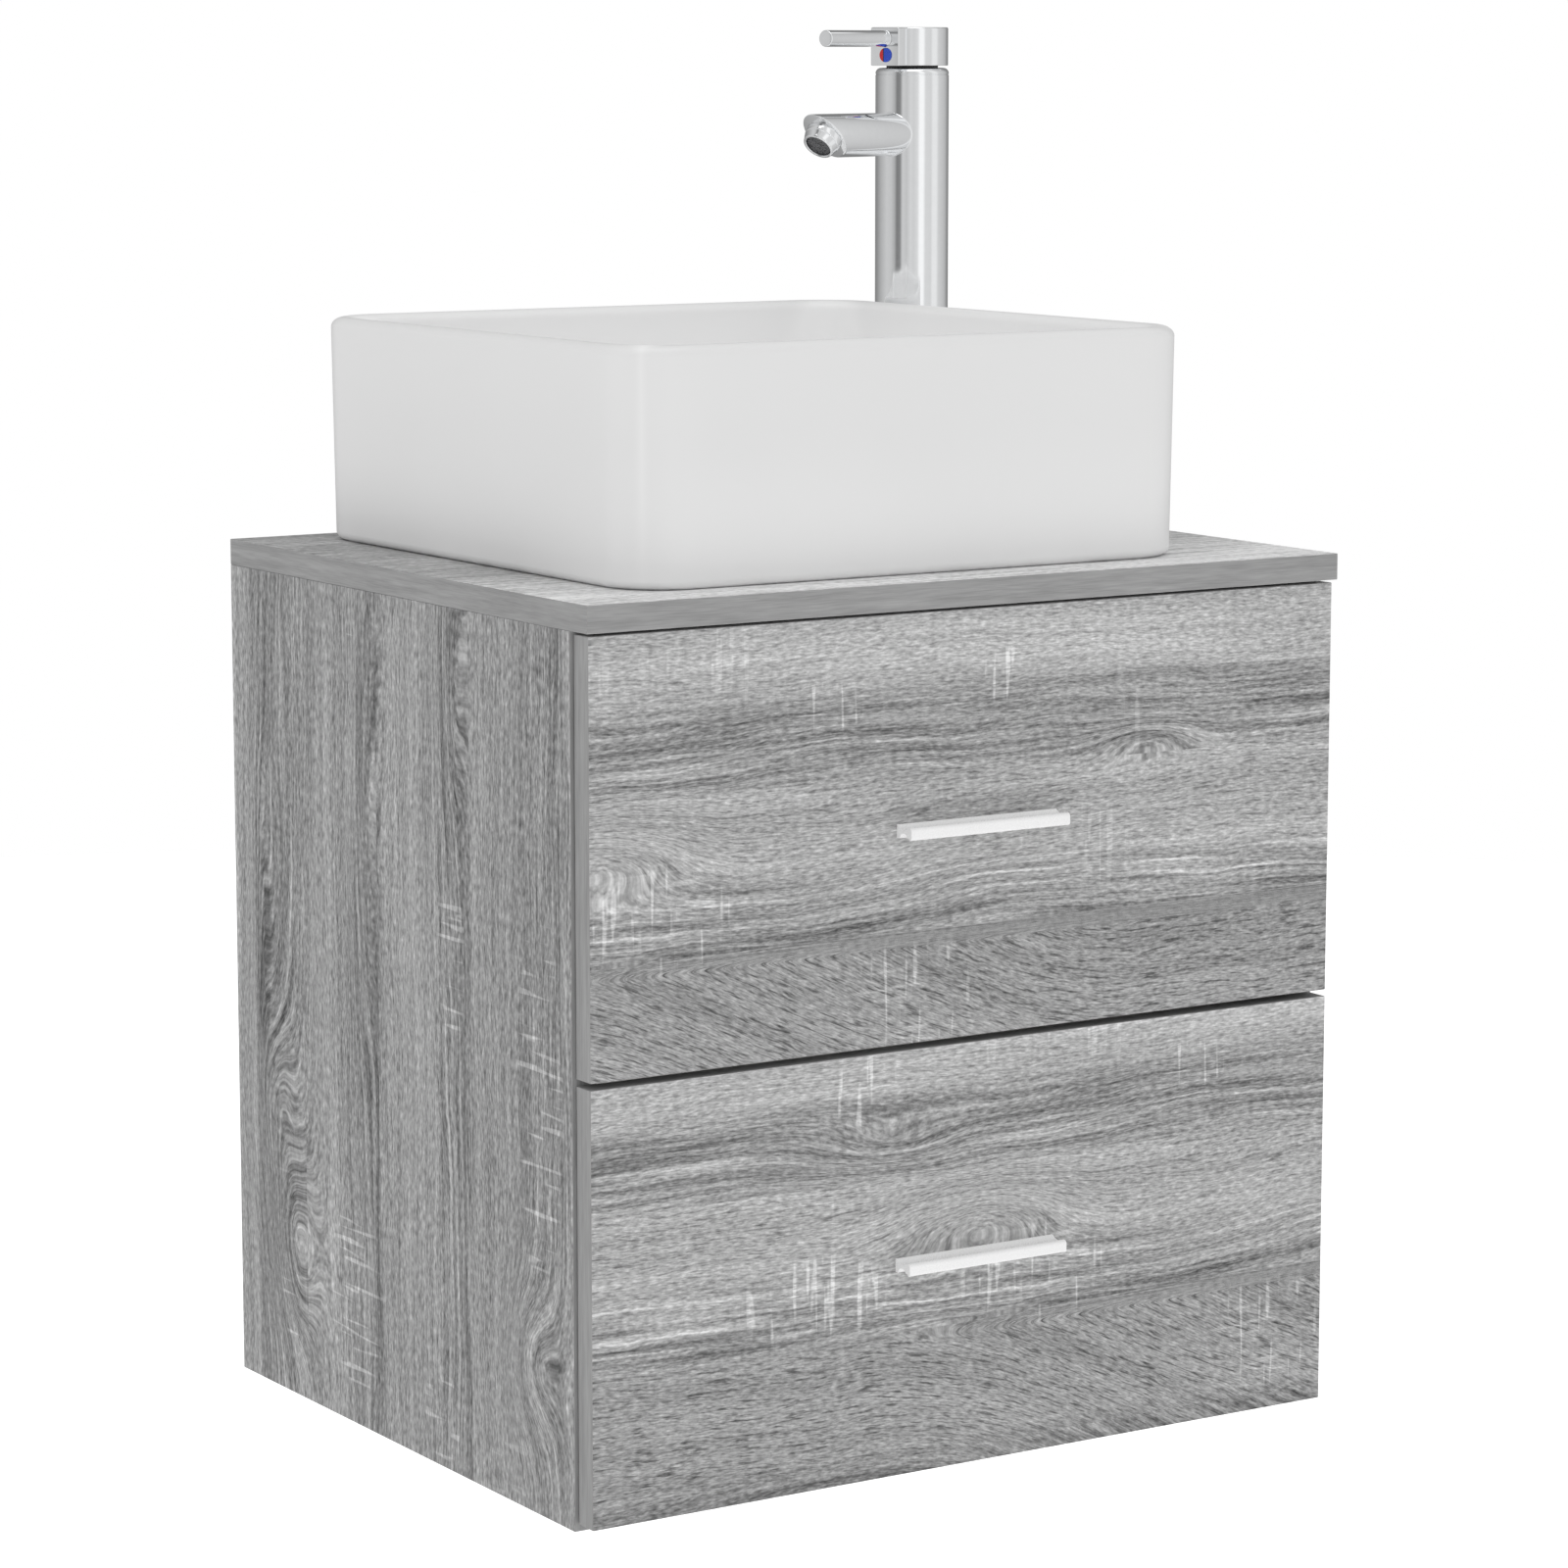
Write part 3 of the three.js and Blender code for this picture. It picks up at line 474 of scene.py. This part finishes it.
# ---------------------------------------------------------------- mesh helpers

def as_piece(name, mesh, materials, node):
    """Puts a mesh in the scene on the body of a CAD node, in that node's place."""
    piece = bpy.data.objects.new(name, mesh)
    bpy.context.scene.collection.objects.link(piece)
    for material in materials:
        mesh.materials.append(material)
    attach(piece, BODY_OF[node])
    return piece


def soften(piece, width, segments=2, angle=30.0):
    """Rounds the edges a little and keeps flat faces flat."""
    bevel = piece.modifiers.new("edges", "BEVEL")
    bevel.width = width
    bevel.segments = segments
    bevel.limit_method = "ANGLE"
    bevel.angle_limit = math.radians(angle)
    bevel.use_clamp_overlap = True
    for polygon in piece.data.polygons:
        polygon.use_smooth = True
    piece.modifiers.new("normals", "WEIGHTED_NORMAL")


def from_node(node, width, faces):
    """A copy of a CAD node with rounded edges. faces is one material, or one for each axis."""
    mesh = frame["nodes"][node].data.copy()
    mesh.materials.clear()
    bm = bmesh.new()
    bm.from_mesh(mesh)
    bmesh.ops.remove_doubles(bm, verts=bm.verts, dist=1e-6)
    bmesh.ops.dissolve_limit(bm, angle_limit=math.radians(0.5), verts=bm.verts, edges=bm.edges)
    bm.to_mesh(mesh)
    bm.free()
    by_axis = faces if isinstance(faces, (list, tuple)) else (faces,) * 3
    unique = list(dict.fromkeys(by_axis))
    piece = as_piece(f"{node}_look", mesh, unique, node)
    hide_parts(node)
    for polygon in mesh.polygons:
        axis = max(range(3), key=lambda i: abs(polygon.normal[i]))
        polygon.material_index = unique.index(by_axis[axis])
    soften(piece, width)
    return piece


def arc(x, y, radius, start, end, steps):
    """Points on an arc, angles in degrees."""
    angles = [math.radians(start + (end - start) * i / steps) for i in range(steps + 1)]
    return [(x + radius * math.cos(t), y + radius * math.sin(t)) for t in angles]


def skin(rings, close_start=True, close_end=True, loop=False):
    """Vertices and faces of a skin over rings of points."""
    count = len(rings[0])
    verts = [point for ring in rings for point in ring]
    faces = []
    for j in range(len(rings) if loop else len(rings) - 1):
        low, high = j * count, (j + 1) % len(rings) * count
        faces += [(low + i, low + (i + 1) % count, high + (i + 1) % count, high + i) for i in range(count)]
    if close_start and not loop:
        faces.append(tuple(range(count)))
    if close_end and not loop:
        faces.append(tuple(range(len(verts) - count, len(verts))))
    return verts, faces


def lathe(profile, segments=96, ribs=None):
    """A closed profile of (radius, height) turned about Z. ribs is (count, depth, low, high)."""
    rings = []
    for radius, height in profile:
        ring = []
        for i in range(segments):
            turn = 2.0 * math.pi * i / segments
            r = max(radius, 0.02)
            if ribs and ribs[2] <= height <= ribs[3]:
                r -= ribs[1] * (0.5 - 0.5 * math.cos(ribs[0] * turn)) ** 2
            ring.append((r * math.cos(turn), r * math.sin(turn), height))
        rings.append(ring)
    on_axis = profile[0][0] == 0.0
    return skin(rings, close_start=on_axis, close_end=on_axis, loop=not on_axis)


def plain_ring(inner, outer, low, high, segments=96):
    """A washer or a tube about Z."""
    return lathe([(inner, low), (outer, low), (outer, high), (inner, high)], segments)


def merged(*shapes):
    verts, faces = [], []
    for more_verts, more_faces in shapes:
        faces += [tuple(i + len(verts) for i in face) for face in more_faces]
        verts += more_verts
    return verts, faces


def turned_by(shape, matrix):
    verts, faces = shape
    return [tuple(matrix @ Vector(v)) for v in verts], faces


def make(node, shape, place, materials, sharp=32.0, name=None, replace=True):
    """Builds a piece from a shape in millimetres and puts it in place of a CAD node."""
    verts, faces = shape
    mesh = bpy.data.meshes.new(name or f"{node}_look")
    mesh.from_pydata([place @ (Vector(v) * MM) for v in verts], [], faces)
    bm = bmesh.new()
    bm.from_mesh(mesh)
    bmesh.ops.recalc_face_normals(bm, faces=bm.faces)
    bm.to_mesh(mesh)
    bm.free()
    for polygon in mesh.polygons:
        polygon.use_smooth = True
    mesh.set_sharp_from_angle(angle=math.radians(sharp))
    piece = as_piece(mesh.name, mesh, materials, node)
    if replace:
        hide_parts(node)
    return piece


# ---------------------------------------------------------------- boards

BOARD_EDGE = 0.5 * MM


def add_boards():
    from_node("countertop", BOARD_EDGE, (BAND_Y, BAND_X, TOP_OAK))
    for side in ("left", "right"):
        from_node(f"side_panel_{side}", BOARD_EDGE, (SIDE_OAK, BAND_Z, BAND_Y))
    from_node("bottom_panel", BOARD_EDGE, (BAND_Y, BAND_X, INNER_OAK))
    for level, front_oak in (("upper", UPPER_FRONT_OAK), ("lower", LOWER_FRONT_OAK)):
        from_node(f"{level}_drawer_front", BOARD_EDGE, (BAND_Z_SIDE, front_oak, BAND_X))
        from_node(f"{level}_rear_rail", BOARD_EDGE, (BAND_Z_SIDE, RAIL_OAK, BAND_X))


def add_small_parts():
    """Drawer boards, runners and hangers: their CAD shapes with rounded edges."""
    for node, slot in SLOT_OF.items():
        if slot == "drawer_board":
            from_node(node, 0.4 * MM, DRAWER_WHITE)
        elif "runner" in node or "hanger" in node:
            from_node(node, 0.25 * MM, ZINC)


# ---------------------------------------------------------------- handles

def handle_profile():
    """(forwards, up) points of the handle's section, with its dished top and finger hollow."""
    return [
        (0, 3.75), *arc(6.5, 9.25, 7.6, 226, 285, 20), *arc(12.25, 1, 2.25, 100, 10, 12),
        *arc(13, -2.25, 1.5, 0, -165, 16), *arc(6.75, -4, 3.5, 20, 160, 24), (2.5, -3.75), (0, -3.75),
    ]


def add_handle(level):
    low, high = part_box(f"{level}_handle")
    half = (high.x - low.x) / 2 / MM
    front_low, front_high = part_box(f"{level}_drawer_front")
    place = Matrix.Translation((0, front_low.y, (front_low.z + front_high.z) / 2))
    rings = [[(x, -forward, up) for forward, up in handle_profile()] for x in (-half, half)]
    piece = make(f"{level}_handle", skin(rings), place, [LACQUER])
    soften(piece, 0.35 * MM, angle=55.0)


# ---------------------------------------------------------------- basin

BASIN_PLACE = Matrix.Translation((*BASIN_CENTRE, TOP_Z))
BASIN_HALF = 183.75
BASIN_RIM_HALF = 185.25
BASIN_HEIGHT = 130.0


def square_ring(half, corner, height, steps=18):
    """A ring of a square with rounded corners."""
    corner = min(corner, half)
    middle = half - corner
    ring = []
    for sign_x, sign_y, start in ((1, 1, 0), (-1, 1, 90), (-1, -1, 180), (1, -1, 270)):
        points = arc(sign_x * middle, sign_y * middle, corner, start, start + 90, steps)
        ring += [(x, y, height) for x, y in points]
    return ring


def add_basin():
    rim = 6.0
    sections = [(22.5, 0.0, 22.5), (120.0, 0.0, 30.0)]
    sections += [(h, z, 34.0) for h, z in arc(BASIN_HALF - 5.0, 5.0, 5.0, -90, 0, 8)]
    sections += [(BASIN_HALF + 0.7, 60.0, 34.5)]
    sections += [(h, z, 35.0) for h, z in arc(BASIN_RIM_HALF - rim, BASIN_HEIGHT - rim, rim, 0, 180, 20)]
    sections += [(170.4, 90.0, 41.0), (168.3, 60.0, 42.0)]
    sections += [(h, z, 43.0) for h, z in arc(142.25, 48.0, 25.0, 0, -80, 12)]
    sections += [(90.0, 17.6, 60.0), (38.0, 14.0, 38.0), (22.5, 14.0, 22.5)]
    rings = [square_ring(half, corner, z) for half, z, corner in sections]
    make("basin", skin(rings, loop=True), BASIN_PLACE, [CERAMIC], sharp=60.0)


# ---------------------------------------------------------------- waste and trap

CAB_PLACE = Matrix.Translation((*BASIN_CENTRE, TOP_Z - 0.5))
TRAP_TUBE = (13.75, 16)  # inner and outer radius


def add_waste():
    seat = 514.0
    make("waste_seal", plain_ring(22, 31, seat, seat + 1.5), CAB_PLACE, [RUBBER])
    flange = seat + 4.5
    tube = lathe([
        (17, 440), (20.2, 440), (20.5, 440.5), (20.5, seat + 1.5), (31.5, seat + 1.5),
        *arc(30.0, flange - 1.5, 1.5, 0, 90, 6), (22, flange), (17, flange - 4),
    ])
    bridge = (488, 494)
    bars = []
    for near, far in ((-18, -6), (6, 18)):
        bars.append(skin([[(near, -3, z), (far, -3, z), (far, 3, z), (near, 3, z)] for z in bridge]))
    hub = plain_ring(4.5, 7, *bridge, 48)
    make("waste_body", merged(tube, hub, *bars), CAB_PLACE, [CHROME])

    base = flange + 0.3
    dome = arc(0, base + 6.5 - 86.6, 86.6, 70.43, 90, 12)
    plug = [(0, 482), (3.6, 482), (4, 482.5), (4, base), (28.6, base), (29, base + 0.5), (29, base + 1.3)]
    make("waste_plug", lathe(plug + dome[:-1] + [(0, base + 6.5)]), CAB_PLACE, [CHROME], sharp=40.0)
    make("waste_washer", plain_ring(21.5, 32, 482, 485), CAB_PLACE, [RUBBER])
    from_node("waste_nut", 0.6 * MM, ZINC)


def ribbed_nut(inner, outer, low, high):
    profile = [
        (inner, low), (outer - 1, low), (outer, low + 1.2), (outer, low + 3), (outer, high - 3),
        (outer, high - 1.2), (outer - 1, high), (inner, high),
    ]
    return lathe(profile, 240, ribs=(20, 1.1, low + 1.0, high - 1.0))


def add_trap():
    to_wall = Matrix.Translation((0, 0, 385)) @ Matrix.Rotation(math.radians(-90), 4, "X")
    make("trap_dip_tube", plain_ring(*TRAP_TUBE, 335, 448), CAB_PLACE, [WHITE_PLASTIC])
    make("trap_inlet_nut", ribbed_nut(16.5, 25, 424, 436), CAB_PLACE, [WHITE_PLASTIC])
    collar = lathe([(21, 436), (24.4, 436), (24.4, 447.4), (23.8, 448), (21, 448)])
    make("trap_inlet_nut", collar, CAB_PLACE, [WHITE_PLASTIC], name="trap_inlet_collar", replace=False)
    shell = lathe([
        (23, 308), (26, 308), (26, 402), *arc(20, 404, 6, 0, 60, 6), (20, 411), (20, 422), (16.5, 422),
        (16.5, 410), (23, 402),
    ])
    spigot = turned_by(lathe([(16.5, 20), (19, 20), (19, 47.5), (18.5, 48), (16.5, 48)]), to_wall)
    make("trap_body", merged(shell, spigot), CAB_PLACE, [WHITE_PLASTIC])
    cup = lathe([
        (0, 292), (27, 292), (29, 292.6), (31, 295), (31, 298), (31, 319), (30.4, 321.4), (29.6, 322),
        (26.5, 322), (26.5, 306), (24, 300), (0, 300),
    ], 240, ribs=(24, 1.2, 294.5, 320.0))
    make("trap_cup", cup, CAB_PLACE, [WHITE_PLASTIC])
    make("outlet_nut", turned_by(ribbed_nut(19.5, 24, 31, 48), to_wall), CAB_PLACE, [WHITE_PLASTIC])
    pipe = turned_by(plain_ring(*TRAP_TUBE, 32, 198.25), to_wall)
    make("outlet_pipe", pipe, CAB_PLACE, [WHITE_PLASTIC])


# ---------------------------------------------------------------- tap

TAP_PLACE = Matrix.Translation((TAP_X, TAP_Y, TOP_Z)) @ Matrix.Rotation(TAP_TURN, 4, "Z")
BODY_RADIUS = 22.75
BODY_TOP = 272.5
SPOUT_RADIUS = 13.2
SPOUT_HEIGHT = 231.9
SPOUT_REACH = 90.3
SPOUT_FILLET = 0.5
POCKET_RADIUS = 11.6
SPOUT_END = Matrix.Translation((-SPOUT_REACH, 0, SPOUT_HEIGHT)) @ Matrix.Rotation(math.radians(45), 4, "Y")


def spout_ring(radius, along, count=96):
    """A ring round the spout's axis. along gives x for the ring's own (y, z)."""
    ring = []
    for i in range(count):
        turn = 2.0 * math.pi * i / count
        y, z = radius * math.cos(turn), radius * math.sin(turn)
        ring.append((along(y, z), y, SPOUT_HEIGHT + z))
    return ring


def spout_shape():
    """The spout from the pocket in its mitred end to the fillet on the body."""
    count = 96
    rings = []
    for depth in (5.3, 0.0):
        circle = [SPOUT_END @ Vector((x, y, depth)) for x, y in arc(0, 0, POCKET_RADIUS, 0, 360, count)[:-1]]
        # The end's own circle starts at another angle than the tube's rings, so it is turned to match.
        rings.append([tuple(circle[(count // 4 - i) % count]) for i in range(count)])
    for inset, back in ((0.9, 0.0), (0.45, 0.12), (0.12, 0.45), (0.0, 0.9)):
        rings.append(spout_ring(SPOUT_RADIUS - inset, lambda y, z, b=back: b - SPOUT_REACH - z))
    for step in range(11):
        turn = math.radians(9.0 * step)
        radius = SPOUT_RADIUS + SPOUT_FILLET * (1.0 - math.cos(turn))
        out = SPOUT_FILLET * (1.0 - math.sin(turn))
        rings.append(spout_ring(radius, lambda y, z, o=out: -math.sqrt(BODY_RADIUS ** 2 - y * y) - o))
    rings.append(spout_ring(SPOUT_RADIUS, lambda y, z: -12.0))
    return skin(rings, close_start=False, close_end=False)


def add_tap_body():
    shoulder = 3.4
    groove = BODY_TOP - shoulder - 0.6
    profile = [
        (14, 1.5), (24.6, 1.5), (25, 1.9), (25, 5.2), *arc(24.2, 5.7, 0.8, 0, 90, 5), (23.6, 6.5),
        (BODY_RADIUS, 6.9), (BODY_RADIUS, 120), (BODY_RADIUS, groove - 0.5),
        (BODY_RADIUS - 0.3, groove - 0.3), (BODY_RADIUS - 0.3, groove + 0.3), (BODY_RADIUS, groove + 0.5),
        *arc(BODY_RADIUS - shoulder, BODY_TOP - shoulder, shoulder, 0, 90, 14),
        (18, BODY_TOP), (18, 230.5), (14, 51),
    ]
    make("tap_body", merged(lathe(profile, 128), spout_shape()), TAP_PLACE, [CHROME])


def add_aerator():
    housing = lathe([
        (8, -8.9), (8.4, -9.3), (9, -9.3), *arc(9, -8.5, 0.8, -70, 0, 4), (10.9, -5.0), (10.75, -4.7),
        (10.75, -4.4), (11.1, -4.2), (11.3, -3.8), (11.3, 5), (8, 5),
    ])
    make("aerator_housing", turned_by(housing, SPOUT_END), TAP_PLACE, [CHROME])
    insert = lathe([(0, 4), (7.7, 4), (7.7, -7.9), (7.2, -8.3), (6.7, -7.7), (0, -7.5)])
    make("aerator_insert", turned_by(insert, SPOUT_END), TAP_PLACE, [MESH_PLASTIC])


CAP_RADIUS = 22.25
CAP_GAP = 1.4
CAP_LOW = BODY_TOP + CAP_GAP
CAP_HIGH = CAP_LOW + 23.4
NOSE_REACH = 29.0
NOSE_HALF_WIDTH = 10.6
LEVER_REACH = 89.5
HEEL_START = 15.0
HEEL_SLOPE = math.tan(math.radians(20))
NOSE_SEAM = 0.1


def on_heel(points, height, relief=True):
    """The outline at a height, its back part raised along the cap's sloping heel."""
    slope = HEEL_SLOPE if relief else 0.0
    return [(x, y, height + max(0.0, x - HEEL_START) * slope) for x, y in points]


def cap_outline(inset):
    """A round with a block nose, moved inwards by the inset."""
    reach, half, radius = NOSE_REACH - inset, NOSE_HALF_WIDTH - inset, CAP_RADIUS - inset
    corner = 0.6
    joint = math.degrees(math.asin(half / radius))
    nose = arc(corner - reach, half - corner, corner, 90, 180, 4)
    nose += arc(corner - reach, corner - half, corner, 180, 270, 4)
    return nose + arc(0, 0, radius, 180 + joint, 540 - joint, 96)


def hollow_outline():
    """The cap's round hollow, with as many points as the cap's outline."""
    radius, joint = 19.5, 28.0
    front = arc(0, 0, radius, 180 - joint, 179 + joint, 9)
    return front + arc(0, 0, radius, 180 + joint, 540 - joint - 1, 96)


def add_lever():
    rounding = 0.9
    rings = [on_heel(hollow_outline(), CAP_HIGH - 8.0, False), on_heel(hollow_outline(), CAP_LOW)]
    for inset, up in ((0.5, 0.0), (0.15, 0.12), (0.0, 0.5), (0.0, 0.7)):
        rings.append(on_heel(cap_outline(inset), CAP_LOW + up))
    rings.append(on_heel(cap_outline(0.0), CAP_HIGH - rounding - 0.2, False))
    for angle in range(0, 91, 15):
        turn = math.radians(angle)
        inset = rounding * (1.0 - math.cos(turn))
        rings.append(on_heel(cap_outline(inset), CAP_HIGH - rounding * (1.0 - math.sin(turn)), False))
    make("lever_cap", skin(rings), TAP_PLACE, [CHROME])

    quarter_turn = Matrix.Rotation(math.radians(-90), 4, "Y")
    face = -NOSE_REACH - NOSE_SEAM
    end = LEVER_REACH - NOSE_REACH - NOSE_SEAM
    rod = lathe([
        (0, 0), (5.4, 0), *arc(5.4, 0.4, 0.4, 270, 180, 5),
        (5, end - 0.8), *arc(4.2, end - 0.8, 0.8, 0, 90, 6), (0, end),
    ], 64)
    rod_place = Matrix.Translation((face, 0, CAP_HIGH - 6.9)) @ quarter_turn
    make("lever_rod", turned_by(rod, rod_place), TAP_PLACE, [CHROME])

    dot = lathe([(0, 0), (4.4, 0), (4.4, 0.4), *arc(4.0, 0.4, 0.4, 0, 90, 4), (3.4, 0.7), (0, 0.7)], 64)
    dot_place = Matrix.Translation((face, -1, CAP_LOW + 6.5)) @ quarter_turn
    make("temperature_dot", turned_by(dot, dot_place), TAP_PLACE, [DOT_ENAMEL])


def add_collar():
    """A dark ring in the gap under the cap. It is closed, so the lever's stem runs through its back."""
    inner, outer, chamfer = 13.5, 16, 0.4
    low, high = BODY_TOP - 1, CAP_LOW + 3
    ring = lathe([
        (inner, low), (outer, low), (outer, high - chamfer), (outer - chamfer, high), (inner, high),
    ])
    make("cartridge_turntable", ring, TAP_PLACE, [GREY_PLASTIC], name="turntable_collar", replace=False)


def add_tap_fixing():
    make("tap_gasket", plain_ring(16.5, 24.5, 0, 1.5), TAP_PLACE, [RUBBER])
    bore, crest, depth, foot = 13, 15.5, 0.7, -60
    thread = [(crest - depth * (i % 2), foot + 0.75 * i) for i in range(78)]
    make("tap_shank", lathe([(bore, foot), *thread, (crest, 1.2), (bore, 1.2)], 64), TAP_PLACE, [ZINC])
    from_node("shank_nut", 0.5 * MM, ZINC)
    for node in ("cartridge", "cartridge_turntable"):
        from_node(node, 0.3 * MM, WHITE_PLASTIC)
    from_node("lever_stem", 0.3 * MM, ZINC)


def dress_cad_nodes():
    """Every node that keeps its CAD shape gets its finished material."""
    finishes = {
        "grey_oak_laminate": INNER_OAK, "drawer_board": DRAWER_WHITE, "zinc_steel": ZINC,
        "handle_white": LACQUER, "basin_ceramic": CERAMIC, "chrome": CHROME,
        "black_rubber": RUBBER, "white_plastic": WHITE_PLASTIC, "grey_plastic": GREY_PLASTIC,
        "dot_enamel": GREY_PLASTIC,
    }
    for part in frame["record"]["subparts"]:
        node = frame["nodes"][part["node"]]
        for slot in node.material_slots:
            slot.material = finishes[part["material_slot"]]


# ---------------------------------------------------------------- stage, light, camera

def add_stage():
    bpy.ops.mesh.primitive_circle_add(vertices=96, radius=4.0, fill_type="NGON", location=(0, 0, FLOOR_Z))
    floor = bpy.context.object
    floor.name = "stage_floor"
    g = Graph("pale_floor")
    g.set(Base_Color=g.grey(g.ramp(g.speckle(3.0), 0.0, 1.0, 0.93, 0.95)), Roughness=0.9)
    g.set(Emission_Color=(1, 1, 1, 1), Emission_Strength=FLOOR_GLOW)
    floor.data.materials.append(g.material)
    floor.visible_glossy = False


def add_world():
    """A white backdrop, even soft light, and the bright and dark panels that reflections see."""
    world = bpy.data.worlds.new("studio")
    bpy.context.scene.world = world
    world.use_nodes = True
    tree = world.node_tree
    nodes, links = tree.nodes, tree.links
    split = nodes.new("ShaderNodeSeparateXYZ")
    links.new(nodes.new("ShaderNodeTexCoord").outputs["Generated"], split.inputs[0])
    turn = nodes.new("ShaderNodeMath")
    turn.operation = "ARCTAN2"
    links.new(split.outputs[1], turn.inputs[0])
    links.new(split.outputs[0], turn.inputs[1])
    fraction = nodes.new("ShaderNodeMapRange")
    fraction.inputs["From Min"].default_value = -math.pi
    fraction.inputs["From Max"].default_value = math.pi
    links.new(turn.outputs[0], fraction.inputs["Value"])
    panels = nodes.new("ShaderNodeValToRGB")
    links.new(fraction.outputs[0], panels.inputs[0])
    points = panels.color_ramp.elements
    while len(points) < len(STUDIO_PANELS):
        points.new(0.5)
    for point, (angle, level) in zip(points, STUDIO_PANELS):
        point.position = (angle + 180.0) / 360.0
        point.color = (level, level, level, 1.0)

    def calc(operation, a, b=0.0):
        node = nodes.new("ShaderNodeMath")
        node.operation = operation
        for socket, value in zip(node.inputs, (a, b)):
            if isinstance(value, float):
                socket.default_value = value
            else:
                links.new(value, socket)
        return node.outputs[0]

    def fall_off(value, middle, width):
        offset = calc("DIVIDE", calc("SUBTRACT", value, middle), width)
        return calc("EXPONENT", calc("MULTIPLY", calc("MULTIPLY", offset, offset), -1.0))

    around = fall_off(fraction.outputs[0], (STRIP_AIM[0] + 180.0) / 360.0, STRIP_SIZE[0] / 360.0)
    height = fall_off(calc("ABSOLUTE", split.outputs[2]), STRIP_AIM[1], STRIP_SIZE[1])
    mirrored = calc("MAXIMUM", panels.outputs[0], calc("MULTIPLY", around, height))

    def background(strength, color=None):
        node = nodes.new("ShaderNodeBackground")
        node.inputs["Strength"].default_value = strength
        node.inputs["Color"].default_value = (1, 1, 1, 1)
        if color is not None:
            links.new(color, node.inputs["Color"])
        return node.outputs[0]

    def choose(ray, otherwise, chosen):
        node = nodes.new("ShaderNodeMixShader")
        links.new(nodes.new("ShaderNodeLightPath").outputs[ray], node.inputs[0])
        links.new(otherwise, node.inputs[1])
        links.new(chosen, node.inputs[2])
        return node.outputs[0]

    soft = choose("Is Glossy Ray", background(WALL_LIGHT), background(MIRROR_GAIN, mirrored))
    links.new(choose("Is Camera Ray", soft, background(BACKDROP)), nodes["World Output"].inputs["Surface"])


def add_area_light(name, place, aim, size, power):
    data = bpy.data.lights.new(name, "AREA")
    data.shape = "RECTANGLE"
    data.size, data.size_y = size
    data.energy = power
    light = bpy.data.objects.new(name, data)
    bpy.context.scene.collection.objects.link(light)
    light.location = place
    light.rotation_euler = (Vector(aim) - Vector(place)).to_track_quat("-Z", "Y").to_euler()
    return light


def add_camera():
    data = bpy.data.cameras.new("camera")
    data.sensor_width = 36.0
    data.lens = CAMERA_LENS
    camera = bpy.data.objects.new("camera", data)
    bpy.context.scene.collection.objects.link(camera)
    camera.location = CAMERA_PLACE
    camera.rotation_euler = (math.radians(90 - CAMERA_DOWN), 0, math.radians(CAMERA_HEADING))
    bpy.context.scene.camera = camera


bpy.context.scene.view_settings.view_transform = "Standard"
add_camera()
add_stage()
add_world()
add_area_light("overhead", (-0.2, -0.4, 2.4), (0, -0.2, 0), (1.8, 1.8), OVERHEAD_POWER)
dress_cad_nodes()
add_boards()
add_small_parts()
for level in ("upper", "lower"):
    add_handle(level)
add_basin()
add_waste()
add_trap()
add_tap_body()
add_aerator()
add_lever()
add_collar()
add_tap_fixing()
